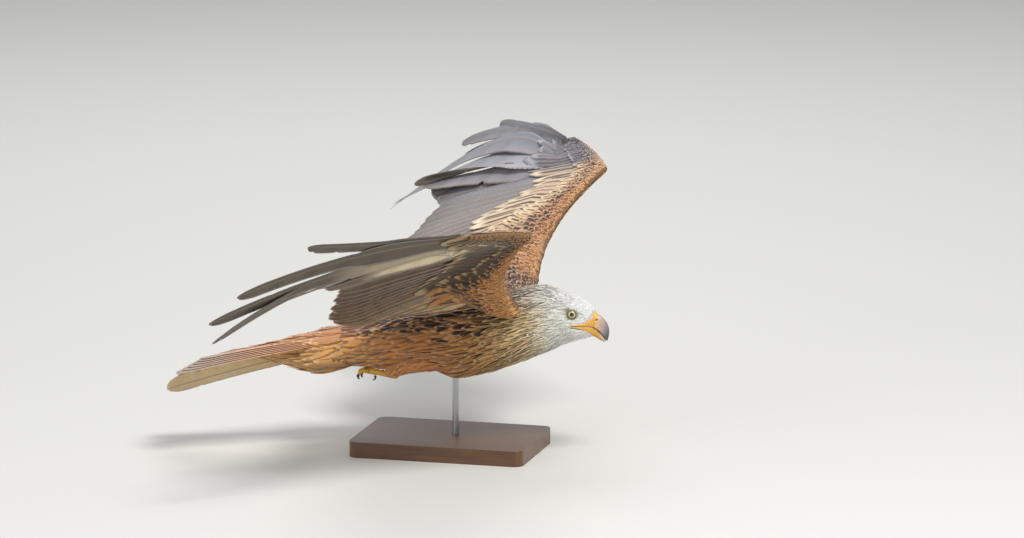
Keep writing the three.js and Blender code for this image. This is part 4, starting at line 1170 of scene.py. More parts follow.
def upper_covert_colours(share, k):
    """Rusty with dark centres at the front, darkest half way, pale buff on the median coverts and grey-brown
    on the greater; cream at the wrist's edge and slate on the hand."""
    ground = along(
        [
            [0, "#d89c66"], [0.35, "#cb8d60"], [0.7, "#ca9468"], [0.86, "#dbb086"], [0.97, "#e2c097"],
            [1.08, "#cbaf92"],
        ],
        share,
    )
    rim = along(
        [[0, "#e4b484"], [0.5, "#daa87c"], [0.8, "#e5c199"], [0.95, "#efd7b6"], [1.08, "#e2cbae"]], share
    )
    streak = level([[0, 0.12], [0.25, 0.26], [0.5, 0.42], [0.72, 0.4], [0.9, 0.2], [1.08, 0.26]], share)
    inner = (1 - smooth(k, 7, 12)) * smooth(share, 0.95, 1.05)
    ground = mix(ground, paint("#d9bd9b"), inner[:, None])
    rim = mix(rim, paint("#ecd6b6"), inner[:, None])
    streak = mix(streak, 0.2, inner)
    shoulder = 1 - smooth(k, 0.8, 2.2)
    ground = mix(ground, paint("#8a7468"), 0.8 * shoulder[:, None])
    streak = mix(streak, 0.5, shoulder)
    hand = smooth(k, 16.2, 17.8)[:, None] * smooth(share, -0.1, 0.25)[:, None]
    ground = mix(ground, paint("#77757e"), hand)
    rim = mix(rim, paint("#a3a1a9"), hand)
    wrist = (np.exp(-(((k - 15.4) / 2.6) ** 2)) * (1 - smooth(share, 0.5, 0.9)))[:, None]
    ground = mix(ground, paint("#dfae80"), wrist * 0.8)
    rim = mix(rim, paint("#efcfa8"), wrist * 0.8)
    return ground, rim, streak, along([[0, "#5d463c"], [0.6, "#4b3d3a"], [1.08, "#6a5d57"]], share)


def under_covert_colours(share, k):
    """Ochre-orange with fine dark streaks on the skin before the elbow, blackish brown with pale edges
    towards the quills, cream on the innermost and on the hand, mottled at the wrist."""
    ground = along(
        [[0, "#cb8f50"], [0.4, "#bf7f40"], [0.62, "#a66c36"], [0.82, "#5c3f24"], [1.08, "#57422d"]], share
    )
    rim = along([[0, "#dba565"], [0.5, "#c98a48"], [0.85, "#a07b4a"], [1.08, "#a48d68"]], share)
    streak = level([[0, 0.12], [0.4, 0.15], [0.62, 0.3], [0.82, 0.65], [1.08, 0.45]], share)
    inner = ((1 - smooth(k, 2, 4)) * smooth(share, 0.75, 0.9))[:, None]
    ground, rim = mix(ground, paint("#a46e37"), inner), mix(rim, paint("#b9864c"), inner)
    hand = (smooth(k, 16, 18) * (1 - smooth(share, 0.85, 1.0)))[:, None]
    ground, rim = mix(ground, paint("#6e5334"), 0.7 * hand), mix(rim, paint("#a08358"), 0.7 * hand)
    hand = (smooth(k, 16.5, 18.5) * smooth(share, 0.85, 1.0))[:, None]
    ground = mix(ground, paint("#7b6547"), hand)
    rim = mix(rim, paint("#d8c8a4"), hand * (1 - smooth(k, 20, 22.5))[:, None])
    wrist = np.exp(-(((k - 15.6) / 2.2) ** 2))
    ground = mix(ground, paint("#86652f"), 0.6 * wrist[:, None])
    streak = mix(mix(streak, 0.22, np.maximum(inner, hand)[:, 0]), 0.55, 0.6 * wrist)
    return ground, rim, streak, along([[0, "#3a2412"], [0.6, "#2c1b0e"], [1.08, "#36281b"]], share)


for name, wing in wings.items():
    for face, label, colours in ((1, "upper", upper_covert_colours), (-1, "under", under_covert_colours)):
        hide = Hide(
            lambda p, q, w=wing, f=face: w.surface(np.maximum(p, 0), q, f),
            lambda p, q, w=wing, f=face: w.up(np.clip(q, 0, LAST), 0 * q + 0.2) * f,
            0.05,
        )
        batches = []
        for number, (share, long, width, spacing, tip) in enumerate(TIERS):
            large = number < LARGE
            wide = width * (UPPER_NARROWER if large and face > 0 else 1 if large else SMALL_WIDER)
            k = places_along(wing, share, wide * spacing)
            k = k[(not large) | (k < OUTERMOST)]
            from_edge = share * (level(UPPER_REACH, k) if face > 0 else 1)
            k = k + random.normal(0, 0.08, len(k)) * width / 20
            quills = wing.depth(k) - core_line(k)[:, 2]
            if number == 0:
                reach = np.where(k > FIRST_PRIMARY, mix(0.85, 0.6, smooth(k, FIRST_PRIMARY, LAST)), 0.95)
            else:
                full, least = (LARGE_FULL, 0.6) if large else (SMALL_FULL, 0.42)
                reach = np.clip(quills / full, least, 1)
            if face > 0:
                inner = 0.3 * (number < 4) * (1 - smooth(k, 5, 14))
                reach = reach * (1 + inner + 0.5 * (number == 0) * smooth(k, 15, 17))
            ground, rim, streak, mark = colours(np.full(len(k), share), k)
            narrower = np.minimum(np.sqrt(reach), 1) * (1 - 0.45 * smooth(k, 21, 23.5))
            batch = lay_feathers(
                hide, from_edge * quills + 1.0 + random.normal(0, 1.0, len(k)) * (not large), k,
                long * reach * varied(len(k), 0.08), wide * narrower * varied(len(k), 0.06),
                tip * varied(len(k), 0.15), heading=random.normal(0, 0.05, len(k)),
                tilt=0.03 * wing.side * face + random.normal(0, 0.02, len(k)), cup=0.08,
                point=0.1 if large else 0.2, rows=9 if large else 6, columns=5 if large else 3,
            )
            home = unwrapped((k + 2) / (LAST + 3), from_edge * quills / COVERED, high=0.92)
            batches.append(dress(
                batch, home, ground, rim, mark,
                lambda: streak * varied(len(k), 0.25), lambda: 0.24 * varied(len(k), 0.2), (0.1, 0.08),
            ))
        coat_piece(f"{name}_{label}_coverts", batches, "wing_plumage")


# Tail: twelve feathers in two halves that droop from the middle pair, the outermost longest, so that the end
# is forked. Each pair lies a little under the last. Rusty above and cream below.
TAIL_PAIRS, TAIL_FAN, TAIL_STEP, TAIL_LAYER = 6, 9, 2.4, 1.3
TAIL_LENGTHS = {-1: (212, 252), 1: (212, 264)}  # of each half, middle pair and outermost
TAIL_INNER, TAIL_OUTER, TAIL_RIDGE, TAIL_FROM = 28, 19, 0.7, 45


def tail_vane(pair, side):
    """One tail feather of a pair: it leaves the middle at an angle that grows from pair to pair."""
    share = pair / (TAIL_PAIRS - 1)
    length = mix(*TAIL_LENGTHS[side], share**1.4)
    angle = math.radians(TAIL_FAN * (pair + 0.4) / (TAIL_PAIRS - 0.6))
    lower = TAIL_LAYER * (2 * pair + (side > 0)) / 2
    start = TAIL_STEP * (pair + 0.5)

    def at(back, reach):
        return tail_point(back, side * reach * np.cos(TAIL_DROOP), -reach * np.sin(TAIL_DROOP) - lower)

    up = TAIL_TURN @ np.array([0, side * np.sin(TAIL_DROOP), np.cos(TAIL_DROOP)])
    return vane_points(
        at(0, start), at(length * math.cos(angle), start + length * math.sin(angle)), side,
        lambda t: np.broadcast_to(up, t.shape + (3,)),
        lambda t: np.minimum(start + t * length * math.sin(angle) - TAIL_RIDGE, TAIL_INNER), TAIL_OUTER,
        TAIL_FROM / length, lambda t: 0.05 + 0 * t, lambda t: 0 * t, 0.012, 0.0, np.ones_like, 0.12,
    )


feathers = []
for pair in range(TAIL_PAIRS):
    for side in (-1, 1):
        feather = tail_vane(pair, side)
        t, a, top = feather["t"], feather["a"], feather["top"]
        # Painted reflection: the rufous upper side turns grey towards the tip and along the outer vane, a
        # sheen of the sky painted into the colour.
        upper = along([[0, "#dd9c6e"], [0.5, "#d99a70"], [0.85, "#bd9a84"], [1, "#a08a7c"]], t)
        upper = mix(upper, paint("#a3938e"), (0.3 * smooth(a, 0, 0.8) * smooth(t, 0.2, 0.7))[..., None])
        under = along([[0, "#d3ae74"], [0.6, "#d6bb8c"], [1, "#cfb388"]], t)
        bars = smooth(np.sin(FULL_TURN * t * TAIL_BARS), 0.4, 0.9) * smooth(-a, 0.1, 0.4)
        shade = np.where(top, upper, under) * (1 - 0.1 * bars[..., None]) * random.uniform(0.94, 1.06)
        feather["ground"] = shade
        feather["rim"] = mix(shade, paint("#e6cfa6"), 0.6)
        feather["pattern"] = np.broadcast_to([feather["length"], 20.0, random.random()], a.shape + (3,))
        feathers.append(feather)
long_vanes("tail_feathers", feathers, "tail", "tail_plumage")

# The tail's coverts: soft orange feathers over and under the tail's root. They hide where its quills
# leave the body.
tail_hide = Hide(
    lambda p, q: tail_base(p, q, -COAT),
    lambda p, q: np.stack([0 * p, np.cos(q), np.sin(q)], -1) @ TAIL_TURN.T,
    0.02,
)
COVERT_FROM, COVERT_TO, COVERT_STEP = 8, 124, 6.5
batches = []
for number, back in enumerate(np.arange(COVERT_FROM, COVERT_TO, COVERT_STEP)):
    half, top, bottom = tail_base_line(np.array(float(back)))
    share = back / COVERT_TO
    width = mix(14, 9, share)
    count = int(np.pi * (half + (top - bottom) / 2) / (width * 0.5))
    turn = (np.arange(count) + 0.5 * (number % 2)) / count * FULL_TURN + random.normal(0, 0.03, count)
    upper = smooth(np.sin(turn), -0.1, 0.5)[:, None]
    batch = lay_feathers(
        tail_hide, np.full(count, float(back)) + random.normal(0, 1.5, count), turn,
        mix(44, 54, share) * varied(count, 0.15), width * varied(count, 0.15), 3.4 * varied(count, 0.4),
        heading=random.normal(0, 0.12, count), cup=0.06, point=0.55,
        sweep=random.normal(0, 0.05, count), rows=8,
    )
    ground = mix(paint("#cd965a"), paint("#c98a5e"), upper)
    rim = mix(paint("#dfb884"), paint("#dcab80"), upper)
    home = unwrapped(turn / FULL_TURN % 1, share + 0 * turn, 0.05, 0.95)
    batches.append(dress(
        batch, home, ground, rim, ground * 0.4,
        lambda: np.where(random.random(count) < 0.25, 0.08, 0), lambda: 0.2 + 0 * turn,
    ))
coat_piece("tail_coverts", batches, "tail_plumage")


# Trousers: loose orange-buff feathers, soft and long. They are rooted in staggered rings round each thigh and
# hang back over the ankle.
THIGH_STEP = 27  # millimetres from one of the thigh's stations to the next
THIGH_FROM, THIGH_TO, THIGH_RING = 6, 106, 4.5
batches = []
for side in SIDES.values():
    thigh_hide = Hide(
        lambda p, q, skin=thigh_skin(side): skin(p / THIGH_STEP, q),
        lambda p, q, skin=thigh_skin(side), w=side: (
            skin(p / THIGH_STEP, q) - thigh_line(p / THIGH_STEP)[..., :3] * [1, w, 1]
        ),
        0.02,
    )
    for number, back in enumerate(np.arange(THIGH_FROM, THIGH_TO, THIGH_RING)):
        share = back / THIGH_TO
        width = mix(9, 7, share)
        count = int(FULL_TURN * thigh_line(np.array(back / THIGH_STEP))[3] / (width * 0.5)) + 4
        turn = (np.arange(count) + 0.5 * (number % 2)) / count * FULL_TURN + random.normal(0, 0.05, count)
        batch = lay_feathers(
            thigh_hide, back + random.normal(0, 1, count), turn,
            mix(32, 46, share**3) * varied(count, 0.15), width * varied(count, 0.08),
            2.8 * varied(count, 0.3), heading=random.normal(0, 0.1, count), point=0.4,
        )
        ground = np.broadcast_to(mix(paint("#b87238"), paint("#c98f52"), share), (count, 3))
        streaked = random.random(count) < 0.12
        home = np.stack(
            [0.26 + 0.24 * side + 0.4 * (turn / FULL_TURN % 1), 0.05 + 0.9 * share + 0 * turn], -1
        )
        batches.append(dress(
            batch, home, ground, ground * 1.18, ground * 0.3,
            lambda: np.where(streaked, 0.12, 0), lambda: 0.2 + 0 * turn,
        ))
coat_piece("thigh_feathers", batches, "body_plumage")


# Eyes: a ball with a bulging clear front, a pale cream iris and a round black pupil, set deep under the brow.
# Each looks outwards and a little ahead.
GAZE = {"right": unit(np.array([0.16, -1, 0.02])), "left": unit(np.array([0.16, 1, 0.02]))}
IRIS, PUPIL = 5.3, 2.7  # radii
EYE_ROWS, EYE_SIDES = 40, 48


def round_axis(axis, radius, height, turn):
    """A point at this radius from the eye's axis and height along it, turned round it from ahead."""
    ahead = square_to(np.array([1.0, 0, 0]), axis)
    over = np.array([0, 0, 1.0]) - axis * axis[2]
    over = unit(over - ahead * (over @ ahead))
    c, s = np.cos(turn)[..., None], np.sin(turn)[..., None]
    return axis * height[..., None] + (ahead * c + over * s) * radius[..., None]


wet_eye, tree, shader = new_material("wet_eye", Roughness=0.22, Coat_Weight=1.0, Coat_Roughness=0.02)
out = add_node(tree, "SeparateXYZ", {0: add_node(tree, "UVMap", uv_map="around")[0]})
ring = add_node(tree, "ValToRGB", {0: out[1]})
PUPIL_SHARE = math.asin(PUPIL / EYE["radius"]) / math.pi
IRIS_SHARE = math.asin(IRIS / EYE["radius"]) / math.pi
RINGS = [
    # share of the way from the front of the eye to its back, colour
    (PUPIL_SHARE - 0.004, "#050403"), (PUPIL_SHARE + 0.004, "#7d724a"), (PUPIL_SHARE + 0.02, "#d8caa0"),
    (IRIS_SHARE - 0.02, "#bfae7e"), (IRIS_SHARE - 0.004, "#5d5230"), (IRIS_SHARE + 0.006, "#14100b"),
]
stops = ring["Color"].node.color_ramp.elements
while len(stops) < len(RINGS):
    stops.new(0.5)
for stop, (place, shade) in zip(stops, RINGS):
    stop.position = place
    stop.color = linear(shade)
spokes = add_node(tree, "Math", {0: out[0], 1: 60.0}, operation="MULTIPLY")
rays = add_node(tree, "CombineXYZ", {0: spokes[0], 1: out[1]})
fibres = add_node(tree, "TexNoise", {"Vector": rays[0], "Scale": 1.0, "Detail": 2.0})
light = add_node(
    tree, "MapRange",
    {"Value": fibres["Fac"], "From Min": 0.3, "From Max": 0.7, "To Min": 0.85, "To Max": 1.1},
)[0]
finish(tree, shader, ring["Color"], light)

for name, side in SIDES.items():
    centre = np.array([EYE["x"], side * EYE["out"], EYE["z"]])
    tilt, turn = np.linspace(0.004, np.pi - 0.004, EYE_ROWS), np.arange(EYE_SIDES) / EYE_SIDES * FULL_TURN
    tilt, turn = np.meshgrid(tilt, turn, indexing="ij")
    bulge = EYE["radius"] * (1 + 0.05 * np.exp(-((tilt / 0.6) ** 2)))
    ball = centre + round_axis(GAZE[name], bulge * np.sin(tilt), bulge * np.cos(tilt), turn)
    place = np.stack([turn / FULL_TURN, tilt / np.pi], -1)
    closed_piece(f"eyeball_{name}", [{"points": ball, "around": place}], wet_eye, "eye", f"eye_{name}")

# Lids: a bare olive-grey ring of skin round each eye, a fold of the face's own. It is thicker over the eye
# and drawn out a little before and behind it.
LID_PROFILE = [
    # along the profile, distance from the eye's axis, height along it
    [0, 5.5, 5.6], [1, 5.3, 6.95], [2, 5.9, 7.5], [3, 6.8, 7.0], [4, 7.9, 5.6], [5, 9.6, 3.2],
    [6, 9.0, 1.6], [7, 6.4, 3.0], [8, 5.5, 5.6],
]


def bare_skin(name, roughness, grain, bump):
    """Bare skin or horn, coloured by its points, with fine folds or growth lines of the named grain."""
    material, tree, shader = new_material(name, Roughness=roughness)
    place = add_node(tree, "TexCoord")["Object"]
    folds = add_node(tree, "TexNoise", {"Vector": place, "Scale": grain, "Detail": 3.0})
    tone = add_node(
        tree, "MapRange",
        {"Value": folds["Fac"], "From Min": 0.25, "From Max": 0.75, "To Min": 0.78, "To Max": 1.16},
    )[0]
    ground = add_node(tree, "Attribute", attribute_name="ground")["Color"]
    finish(tree, shader, ground, tone, folds["Fac"], 0.5, bump)
    return material, shader


lid_skin = bare_skin("bare_lid_skin", 0.55, 900.0, 0.0004)[0]
lid_line = through(LID_PROFILE)
LID_SIDES, LID_ROWS = 64, 24
for name, side in SIDES.items():
    centre = np.array([EYE["x"], side * EYE["out"], EYE["z"]])
    turn, place = np.meshgrid(
        np.arange(LID_SIDES) / LID_SIDES * FULL_TURN, np.arange(LID_ROWS) / LID_ROWS * 8, indexing="ij"
    )
    radius, height = np.moveaxis(lid_line(place), -1, 0)
    outer_part = smooth(place, 1, 3) * (1 - smooth(place, 6, 8))
    corner = np.abs(np.cos(turn)) ** 6
    drawn_out = 0.12 * corner * smooth(place, 0, 3) * (1 - smooth(place, 6, 8))
    radius = radius * (1 + 0.05 * outer_part * np.cos(turn) ** 2 + drawn_out)
    height = height + (0.7 * smooth(np.sin(turn), 0.1, 0.9) - 1.2 * corner) * outer_part
    points = centre + round_axis(GAZE[name], radius, height, turn)
    shades = mix(paint("#4a4632"), paint("#a5a284"), smooth(radius, 5.7, 7.4)[..., None])
    # Painted shade: the ring's upper, outer part is darkened to stand in for the brow's shadow over it.
    over = (smooth(np.sin(turn), 0.2, 0.9) * smooth(radius, 6.5, 8.5))[..., None]
    shades = mix(shades, paint("#77745a"), over * 0.7)
    ring = {
        key: np.concatenate([value, value[:1]]) for key, value in (("points", points), ("ground", shades))
    }
    closed_piece(f"lid_{name}", [ring], lid_skin, "foot_skin")


# Bill: horn over bone. The upper half is waxy yellow cere at its base, with the nostrils, then pinkish horn
# that darkens to a hooked tip. The lower half is yellow. Bare yellow lips run back under the eye.
UPPER_BILL = [
    # along the bill, ridge x and z, cutting edge x and z, half width
    [0, 199, 43.6, 198, 18.4, 9.4], [1, 206, 39.4, 204, 17.9, 9.2], [2, 211, 34.8, 209, 16.6, 8.5],
    [3, 217, 31.2, 213.5, 13.8, 7.2], [4, 222.4, 26, 217.6, 9.8, 6], [5, 226.6, 19, 220.6, 5.4, 4.6],
    [6, 228.2, 11, 222.6, 1.6, 3.2], [7, 227.6, 4, 223.6, -1.2, 1.9], [8, 225.8, -2.6, 224.9, -2.9, 0.6],
]
LOWER_BILL = [
    # along the bill, underside x and z, cutting edge x and z, half width
    [0, 199, 3.4, 199, 16.6, 8], [1, 204, 2.8, 203.6, 16, 7.8], [2, 209.4, 1.2, 208.4, 14.3, 7],
    [3, 214, -1.6, 212.6, 10.8, 5.8], [4, 218.4, -3.8, 217.2, 7.4, 4.4], [5, 221.4, -4.6, 220.6, 2.6, 2.9],
    [6, 223, -4.2, 222.6, -1.4, 1.3],
]
NOSTRIL = {"x": 211.2, "z": 27.0, "long": 1.9, "high": 1.1, "deep": 1.9, "slant": math.radians(25)}
BILL_ROWS, BILL_SIDES = 72, 88


def bill_half(rows, cere_end, hollow):
    """A half of the bill: at each place along it a half-ellipse stands on the cutting edge and reaches the
    ridge or underside, and a hollow roof closes it. The cere swells over the base, up to its front edge."""
    line = through(rows)
    place, around = np.meshgrid(
        np.linspace(0, rows[-1][0], BILL_ROWS), np.arange(BILL_SIDES) / BILL_SIDES * 2, indexing="ij"
    )
    over = around < 1.5
    angle = np.where(over, around / 1.5 * np.pi, 0)
    back = np.where(over, 0, (around - 1.5) / 0.5)
    ridge_x, ridge_z, edge_x, edge_z, half = np.moveaxis(line(place), -1, 0)
    reach = np.where(over, np.sin(angle) ** 0.92, hollow * np.sin(back * np.pi))
    y = half * np.where(over, np.cos(angle), -1 + 2 * back)
    points = np.stack([edge_x + (ridge_x - edge_x) * reach, y, edge_z + (ridge_z - edge_z) * reach], -1)
    middle = np.stack([(edge_x + ridge_x) / 2, 0 * y, (edge_z + ridge_z) / 2], -1)
    outward = unit(points - middle)
    cere = np.where(over, 1 - smooth(place, cere_end - 0.16, cere_end + 0.1), 0)
    points = points + outward * (0.45 * cere)[..., None]
    return points, outward, place, over


cere_end = 2.3
upper_bill, outward, place, over = bill_half(UPPER_BILL, cere_end, 0.16)
c, s = math.cos(NOSTRIL["slant"]), math.sin(NOSTRIL["slant"])
ahead, rise = upper_bill[..., 0] - NOSTRIL["x"], upper_bill[..., 2] - NOSTRIL["z"]
from_nostril = np.hypot((ahead * c + rise * s) / NOSTRIL["long"], (rise * c - ahead * s) / NOSTRIL["high"])
pit = np.where(over, np.exp(-(from_nostril**4)), 0)
rim = np.where(over, np.exp(-(((from_nostril - 1.5) / 0.35) ** 2)), 0)
upper_bill = upper_bill + outward * (0.3 * rim - NOSTRIL["deep"] * pit)[..., None]
horn = along([[2.3, "#d6bba2"], [3.6, "#c0a591"], [4.8, "#94858a"], [6, "#626066"], [8, "#424248"]], place)
edge_height = np.interp(place, np.arange(len(UPPER_BILL)), np.array(UPPER_BILL)[:, 4])
to_ridge = smooth(upper_bill[..., 2] - edge_height, 8, 22)[..., None]
horn = mix(horn, horn * 0.75, to_ridge * 0.6)
yellow = mix(paint("#e3a740"), paint("#e9b95e"), to_ridge)
upper_shades = mix(yellow, horn, smooth(place, cere_end - 0.1, cere_end + 0.35)[..., None])
# Painted shade: the nostril's shallow dent is darkened almost to black, standing in for the shade inside the
# hole.
upper_shades = upper_shades * (1 - 0.93 * pit[..., None])
lower_bill, _, place, over = bill_half(LOWER_BILL, -1, 0.1)
lower_shades = along([[0, "#dfa542"], [3, "#dba445"], [4.4, "#cdb58c"], [6, "#cfc6b6"]], place)


def head_side(x, z):
    """Half width of the head at x and height z, read off its section there."""
    turn = np.linspace(-np.pi / 2, np.pi / 2, 181)
    sections = [body_form(np.full(turn.shape, along_x), turn) for along_x in x]
    return np.array([np.interp(up, section[:, 2], section[:, 1]) for section, up in zip(sections, z)])


MOUTH_LINE = [
    # along x, height of the line, how far the lip over it reaches up and the one under it down
    [176.5, 19.0, 0.5, 0.4], [182, 19.2, 1.4, 1.2], [190, 18.9, 3.2, 3.2], [197, 18.3, 5.0, 6.2],
    [203, 17.7, 9.4, 9.2], [208, 16.7, 14, 10.6], [213, 13.6, 6.0, 8.0],
]
LIP_SPLIT, LIP_THICK = 0.55, 1.2
mouth_line = through(MOUTH_LINE)


def lip(side, upper):
    """A lip as a flattened tube: its section is an ellipse that follows the side of the head, and from the
    bill's base on the side of the bill."""
    x = np.linspace(176.5, 213, 44)
    line, rise, drop = mouth_line(x).T
    low = line + LIP_SPLIT if upper else line - LIP_SPLIT - drop
    high = line + LIP_SPLIT + rise if upper else line - LIP_SPLIT
    angle = np.arange(20) / 20 * FULL_TURN
    z = (low + high)[:, None] / 2 + (high - low)[:, None] / 2 * np.sin(angle)
    on_head = np.stack([head_side(np.minimum(x, 207.0), column) for column in z.T], -1)
    rows = np.array(UPPER_BILL if upper else LOWER_BILL)[:4]
    ridge_z, edge_z = np.interp(x, rows[:, 1], rows[:, 2]), np.interp(x, rows[:, 3], rows[:, 4])
    share = np.clip((z - edge_z[:, None]) / (ridge_z - edge_z)[:, None], 0, 0.99)
    on_bill = np.interp(x, rows[:, 3], rows[:, 5])[:, None] * np.sqrt(1 - share**2)
    y = mix(on_head, on_bill, smooth(x, 204, 208.5)[:, None])
    thick = LIP_THICK * smooth(x, 174, 184) * (1 - 0.75 * smooth(x, 205, 213))
    y = y - 0.8 + (thick[:, None] + 0.2) * np.cos(angle)
    return np.stack([np.broadcast_to(x[:, None], z.shape), side * y, z], -1)


bill_horn, shader = bare_skin("bill_horn_and_cere", 0.38, 420.0, 0.0002)
shader.inputs["Coat Weight"].default_value = 0.25
shader.inputs["Coat Roughness"].default_value = 0.25
LIP_YELLOW = paint("#e6ab48")
for name, points, shades in (("upper", upper_bill, upper_shades), ("lower", lower_bill, lower_shades)):
    lips = [{"points": lip(side, name == "upper"), "ground": LIP_YELLOW} for side in SIDES.values()]
    shells = [{"points": points, "ground": shades}, *lips]
    closed_piece(f"bill_{name}_horn", shells, bill_horn, "bill", f"bill_{name}")

# Painted shade: a near-black tube inside the mouth stands in for the shade seen as a line between the lips
# and the halves of the bill
# Along x, half its width within the bill
MOUTH_HALF = [[199, 9], [206, 8.4], [209, 7.6], [213.5, 6], [217.6, 4.2], [220.6, 2.4], [222.6, 0.8]]
BILL_FROM = 206
x = np.linspace(177, 223.4, 40)
on_head = np.minimum(x, BILL_FROM)
upper_edge = np.interp(x, np.array(UPPER_BILL)[:, 3], np.array(UPPER_BILL)[:, 4])
line = np.where(x < BILL_FROM, mouth_line(on_head)[:, 0], upper_edge - 0.4)
half = np.where(x < BILL_FROM, head_side(on_head, line) - 0.5, level(MOUTH_HALF, x))[:, None]
around = np.arange(16) / 16 * FULL_TURN
mouth = np.stack(
    np.broadcast_arrays(x[:, None], half * np.cos(around), line[:, None] + 1.2 * np.sin(around)), -1
)
mouth_lining = bare_skin("mouth_lining", 0.5, 500.0, 0.0002)[0]
closed_piece("mouth_inside", [{"points": mouth, "ground": paint("#2a1510")}], mouth_lining, "bill")


# Feet: bare yellow skin in scutes over thin bone, closed and drawn up. The claws are black horn.
FOOT = {"ankle": [-76, 22, -64], "pad": [-110, 19, -60], "tarsus": 4.2, "toe": 2.9, "claw": 1.9}
TOES = {
    # start, knuckle and end of each closed toe, back, outward and up from the pad, and which way it curls
    "outer": ([[0, 3, 0], [11, 6, 0], [14, 6.4, -5]], -1),
    "middle": ([[0, 0, 0], [13, 0.4, 0], [16.4, 0.4, -5.4]], -1),
    "inner": ([[0, -3, 0], [9.6, -5.4, 0], [12.6, -5.6, -5]], -1),
    "hind": ([[-2, 0, 0], [-6.4, 0, -2], [-7, 0, -6]], 1),
}
CLAW_GAP = 0.3
CLAW_ROWS = [
    # ahead, inward, share of the thickness
    [CLAW_GAP, 0, 1], [3, 0, 0.8], [6, 1.6, 0.5], [7.6, 5, 0.2],
]
SCUTE = 2.6  # millimetres from one scute's edge to the next
SCUTE_ROW = 0.55  # and from one ring of points to the next
CLAW_SMOOTH = 1000  # a claw is one smooth piece, shorter than this


def scaly_tube(rows, sides, scute):
    """A limb through rows of x, y, z and radius. Each scute stands out a little towards its far edge."""
    steps = np.linalg.norm(np.diff(np.array(rows, float)[:, :3], axis=0), axis=1)
    reach = np.concatenate([[0], np.cumsum(steps)])
    path = through([[far, *row] for far, row in zip(reach, rows)])
    places = np.linspace(0, reach[-1], int(reach[-1] / SCUTE_ROW) + 4)
    t, turn = np.meshgrid(places, np.arange(sides) / sides * FULL_TURN, indexing="ij")
    step = t / scute % 1
    ridges = 1 + 0.07 * step**2
    near, here, far = path(t - 0.05), path(t), path(t + 0.05)
    along_line = unit(far[..., :3] - near[..., :3])
    across = square_to(np.array([0.0, 1.0, 0.0]), along_line)
    lift = np.cross(across, along_line)
    radius = here[..., 3:4] * ridges[..., None]
    end = np.minimum(t, reach[-1] - t)[..., None]
    radius = radius * np.sqrt(np.clip(end / np.maximum(here[..., 3:4], 0.1) * 2, 0.02, 1))
    points = here[..., :3] + (across * np.cos(turn)[..., None] + lift * np.sin(turn)[..., None]) * radius
    return points, step


foot_skin = bare_skin("scaly_foot_skin", 0.5, 700.0, 0.0003)[0]
claw_horn = bare_skin("black_claw_horn", 0.3, 600.0, 0.0001)[0]
for name, side in SIDES.items():
    ankle, pad = np.array(FOOT["ankle"]) * [1, side, 1], np.array(FOOT["pad"]) * [1, side, 1]
    shank = [
        [*(ankle + [8, 0, 0]), FOOT["tarsus"]], [*ankle, FOOT["tarsus"]], [*((ankle + pad) / 2), 3.8],
        [*pad, FOOT["tarsus"]], [*(pad - [5, 0, 1]), 3.2],
    ]
    limbs = [scaly_tube(shank, 28, SCUTE)]
    for toe, (line, curl) in TOES.items():
        points = [pad + np.array([-back, side * out, up]) for back, out, up in line]
        rows = [[*point, FOOT["toe"] * (1 - 0.1 * n)] for n, point in enumerate(points)]
        limbs.append(scaly_tube(rows, 20, SCUTE * 0.8))
        end, onward = points[2], unit(points[2] - points[1])
        claw_rows = [
            [*(end + onward * far - [curl * inward, 0, 0]), FOOT["claw"] * thick]
            for far, inward, thick in CLAW_ROWS
        ]
        claw = {"points": scaly_tube(claw_rows, 16, CLAW_SMOOTH)[0], "ground": paint("#1c1a19")}
        closed_piece(f"claw_horn_{name}_{toe}", [claw], claw_horn, "claw", f"claw_{name}_{toe}")
    shells = []
    for points, step in limbs:
        crease = smooth(np.abs(step - 0.5), 0.34, 0.5)[..., None]
        shells.append({"points": points, "ground": mix(paint("#d8a438"), paint("#8e6420"), crease)})
    closed_piece(f"foot_skin_{name}", shells, foot_skin, "foot_skin", f"foot_{name}")


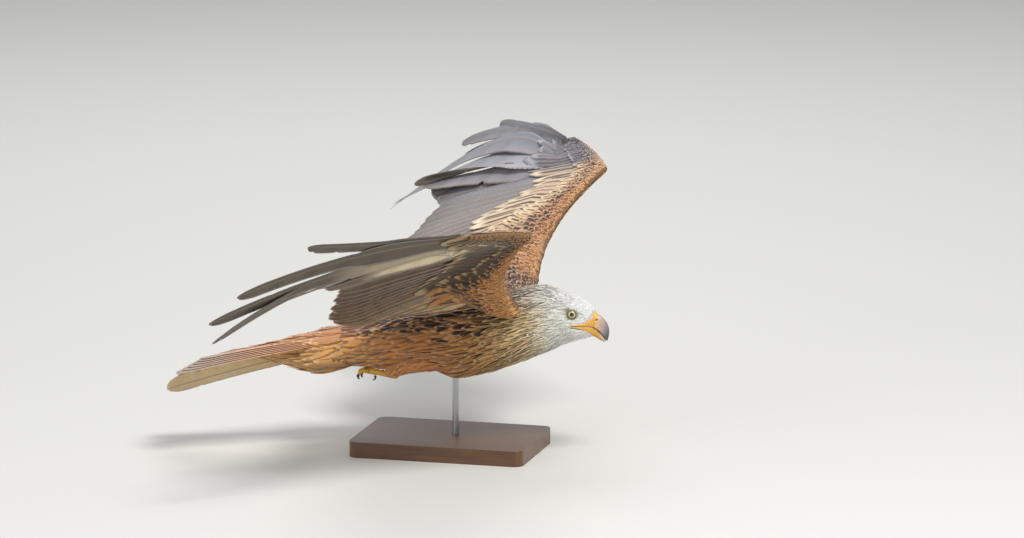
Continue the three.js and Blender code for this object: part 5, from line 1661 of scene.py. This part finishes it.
# Display stand: a plain base of dark stained oak under satin varnish, and a rod of brushed steel up into the
# breast. Both keep their CAD forms. Oak's rings show as bands 6 mm apart, the brush marks are 0.3 mm wide.
varnished_oak, tree, shader = new_material(
    "varnished_oak", Roughness=0.42, Coat_Weight=0.35, Coat_Roughness=0.3
)
place = add_node(tree, "TexCoord")["Object"]
stretched = add_node(tree, "Mapping", {"Vector": place, "Scale": (1.0, 14.0, 14.0)})[0]
wander = add_node(tree, "TexNoise", {"Vector": stretched, "Scale": 3.5, "Detail": 3.0})["Fac"]
rings = add_node(
    tree, "TexWave",
    {"Vector": stretched, "Scale": 3.7, "Distortion": 5.0, "Detail": 3.0, "Detail Scale": 1.4},
    bands_direction="Y",
)
pores = add_node(tree, "Mapping", {"Vector": place, "Scale": (40.0, 900.0, 900.0)})[0]
pore = add_node(tree, "TexNoise", {"Vector": pores, "Scale": 1.0, "Detail": 2.0})["Fac"]
grain = add_node(tree, "Math", {0: rings["Fac"], 1: 0.6, 2: wander}, operation="MULTIPLY_ADD")[0]
wood = add_node(tree, "Mix", {0: grain, 6: linear("#3c2415"), 7: linear("#6f4a2c")}, data_type="RGBA")[2]
dark_pore = add_node(
    tree, "MapRange",
    {"Value": pore, "From Min": 0.32, "From Max": 0.42, "To Min": 0.55, "To Max": 1.0},
)[0]
finish(tree, shader, wood, dark_pore, dark_pore, 0.25, 0.0002)

brushed_steel, tree, shader = new_material("brushed_steel", Metallic=1.0, Roughness=0.32)
place = add_node(tree, "TexCoord")["Object"]
marks = add_node(tree, "Mapping", {"Vector": place, "Scale": (3000.0, 3000.0, 60.0)})[0]
brush = add_node(tree, "TexNoise", {"Vector": marks, "Scale": 1.0, "Detail": 2.0})["Fac"]
steel = add_node(tree, "Mix", {0: brush, 6: linear("#8d9092"), 7: linear("#c4c7c9")}, data_type="RGBA")[2]
finish(tree, shader, steel, None, brush, 0.2, 0.0001)
for node, material in (("stand_base", varnished_oak), ("stand_rod", brushed_steel)):
    for slot in bpy.data.objects[node].material_slots:
        slot.material = material
